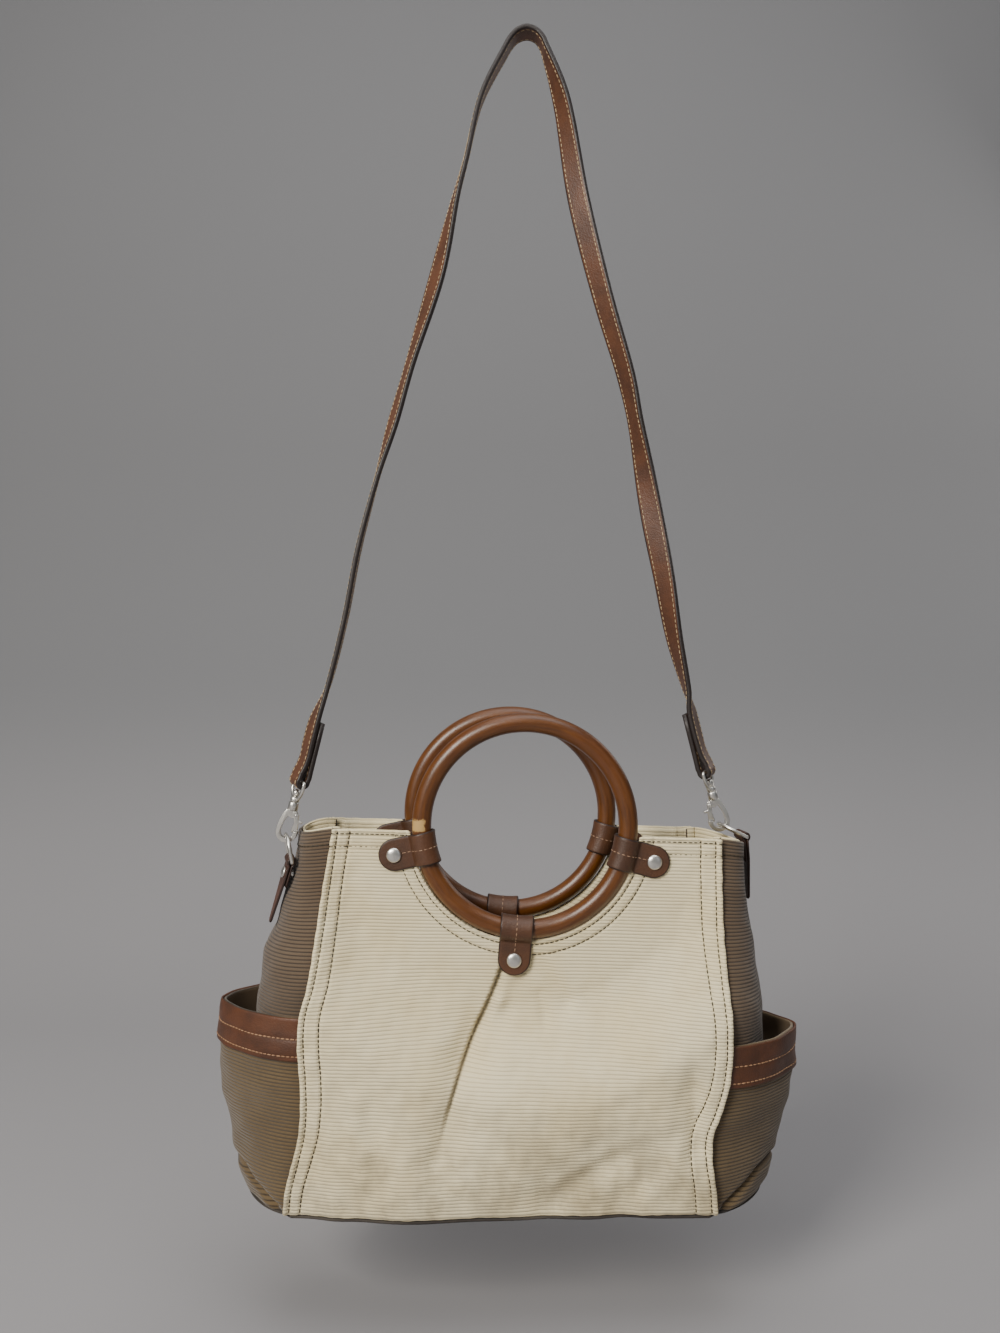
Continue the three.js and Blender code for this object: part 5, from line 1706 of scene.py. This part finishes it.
def rounded_route(points, steps):
    """A smooth line through the points, which slows near close ones, and its directions."""
    padded = np.concatenate([[2 * points[0] - points[1]], points, [2 * points[-1] - points[-2]]])
    place, way = [], []
    for a, b, c, d in zip(padded, padded[1:], padded[2:], padded[3:]):
        gaps = ((a, b), (b, c), (c, d))
        near, span, far = (max(np.linalg.norm(q - p) ** 0.5, 1e-4) for p, q in gaps)
        leave = ((b - a) / near - (c - a) / (near + span) + (c - b) / span) * span
        reach = ((c - b) / span - (d - b) / (span + far) + (d - c) / far) * span
        t = np.linspace(0, 1, steps, endpoint=False)[:, None]
        rest = 3 * (c - b) - 2 * leave - reach
        turn = leave + reach - 2 * (c - b)
        place.append(b + leave * t + rest * t**2 + turn * t**3)
        way.append(leave + 2 * rest * t + 3 * turn * t**2)
    return np.concatenate(place), np.concatenate(way)


def unit(vectors):
    return vectors / np.linalg.norm(vectors, axis=-1, keepdims=True)


route = strap_branch(-1, strap_left)[::-1] + [([0, 0, strap_rise], 0)] + strap_branch(1, strap_right)
middle, way = rounded_route(np.array([place for place, _ in route]), strap_steps)
turn_table = [{"at": i, "turn": turn} for i, (_, turn) in enumerate(route)]
turn_at = np.arange(len(middle)) / strap_steps
turns = np.radians([read(turn_table, "turn", at, "at") for at in turn_at])
way = unit(way)
wide = np.stack([np.sin(turns), -np.cos(turns), np.zeros(len(turns))], -1)
wide = unit(wide - way * np.sum(wide * way, -1, keepdims=True))


def fold_path(side):
    """The folded end, from where it leaves the strap, round the bar and back up to its end."""
    end, upright = strap_ends[side]
    turn = strap_end_turns[side]
    width = np.array([math.sin(turn), -math.cos(turn), 0])
    width = unit(width - upright * (width @ upright))
    inward = np.cross(width, upright) * side
    loop = eye_wire / 2 + gap + strap_thickness / 2
    layer = strap_thickness + 0.0002
    flat = bend((0, 0.020), (0, 0.012), (-loop * 0.72, 0.0058), 8) + arc(loop, 148, 372, 24)
    flat += bend((layer + 0.0001, 0.0032), (layer, 0.008), (layer, 0.014), 6)
    flat += [(layer, strap_fold * 0.7), (layer, strap_fold)]
    return np.array([end + a * inward + u * upright for a, u in flat]), width


rise_left = (middle - strap_ends[-1][0]) @ strap_ends[-1][1]
rise_right = (middle - strap_ends[1][0]) @ strap_ends[1][1]
free = (rise_left > fold_reach) & (rise_right > fold_reach)
left_fold, left_width = fold_path(-1)
right_fold, right_width = fold_path(1)
centre_line = np.concatenate([left_fold[::-1], middle[free], right_fold])
widths = np.concatenate(
    [np.tile(left_width, (len(left_fold), 1)), wide[free], np.tile(right_width, (len(right_fold), 1))]
)
along = unit(np.gradient(centre_line, axis=0))
widths = unit(widths - along * np.sum(widths * along, -1, keepdims=True))
faces_out = np.cross(along, widths)
lengths = np.concatenate([[0], np.cumsum(np.linalg.norm(np.diff(centre_line, axis=0), axis=1))])

half_wide, half_thick, round_edge = strap_width / 2, strap_thickness / 2, 0.0012
corner = [(half_wide - round_edge + w, half_thick - round_edge + t) for w, t in arc(round_edge, 90, 0, 4)]
face_points = [(half_wide * share, half_thick) for share in (-0.6, -0.3, 0, 0.3, 0.6)]
top_side = [(-w, t) for w, t in corner[::-1]] + face_points + corner
section = np.array(top_side + [(-w, -t) for w, t in top_side])
sides = section[None, :, :1] * widths[:, None] + section[None, :, 1:] * faces_out[:, None]
skin = centre_line[:, None] + sides
count, around = skin.shape[:2]
i, j = np.meshgrid(np.arange(count - 1), np.arange(around), indexing="ij")
corners = [(i, j), (i, (j + 1) % around), (i + 1, (j + 1) % around), (i + 1, j)]
quads = np.stack([(a * around + b).ravel() for a, b in corners], -1)
caps = [list(range(around))[::-1], list(range((count - 1) * around, count * around))]
strap = smooth_piece("strap_leather", skin.reshape(-1, 3).tolist(), quads.tolist() + caps)
strap_uv = [np.stack([section[b.ravel(), 0], lengths[a.ravel()]], -1) for a, b in corners]
cap_uv = np.tile([half_wide, 0.0], (2 * around, 1))
every_uv = np.concatenate([np.stack(strap_uv, 1).reshape(-1, 2), cap_uv])
strap.data.uv_layers.new(name="cloth").data.foreach_set("uv", every_uv.ravel())
strap_leather = leather(
    "strap_leather", srgb(94, 58, 37), srgb(72, 43, 27), srgb(116, 78, 53), 0.46,
    edge=(srgb(34, 25, 22), half_wide, 0.0011),
)
strap.data.materials.append(strap_leather)
dress(strap, "bag", "strap_leather", "strap")

cream_thread = waxed_thread("cream_thread", srgb(214, 192, 150), srgb(164, 140, 104))
rows = []
for across in (-1, 1):
    for out in (-1, 1):
        lift = half_thick + 0.00002
        line = centre_line + widths * across * (half_wide - strap_seam_inset) + faces_out * out * lift
        rows.append(line[2:-2])
sew(
    "strap_stitches", rows, cream_thread, "bag",
    pitch=strap_pitch, length=0.0028, thickness=0.0006,
)

low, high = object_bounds()
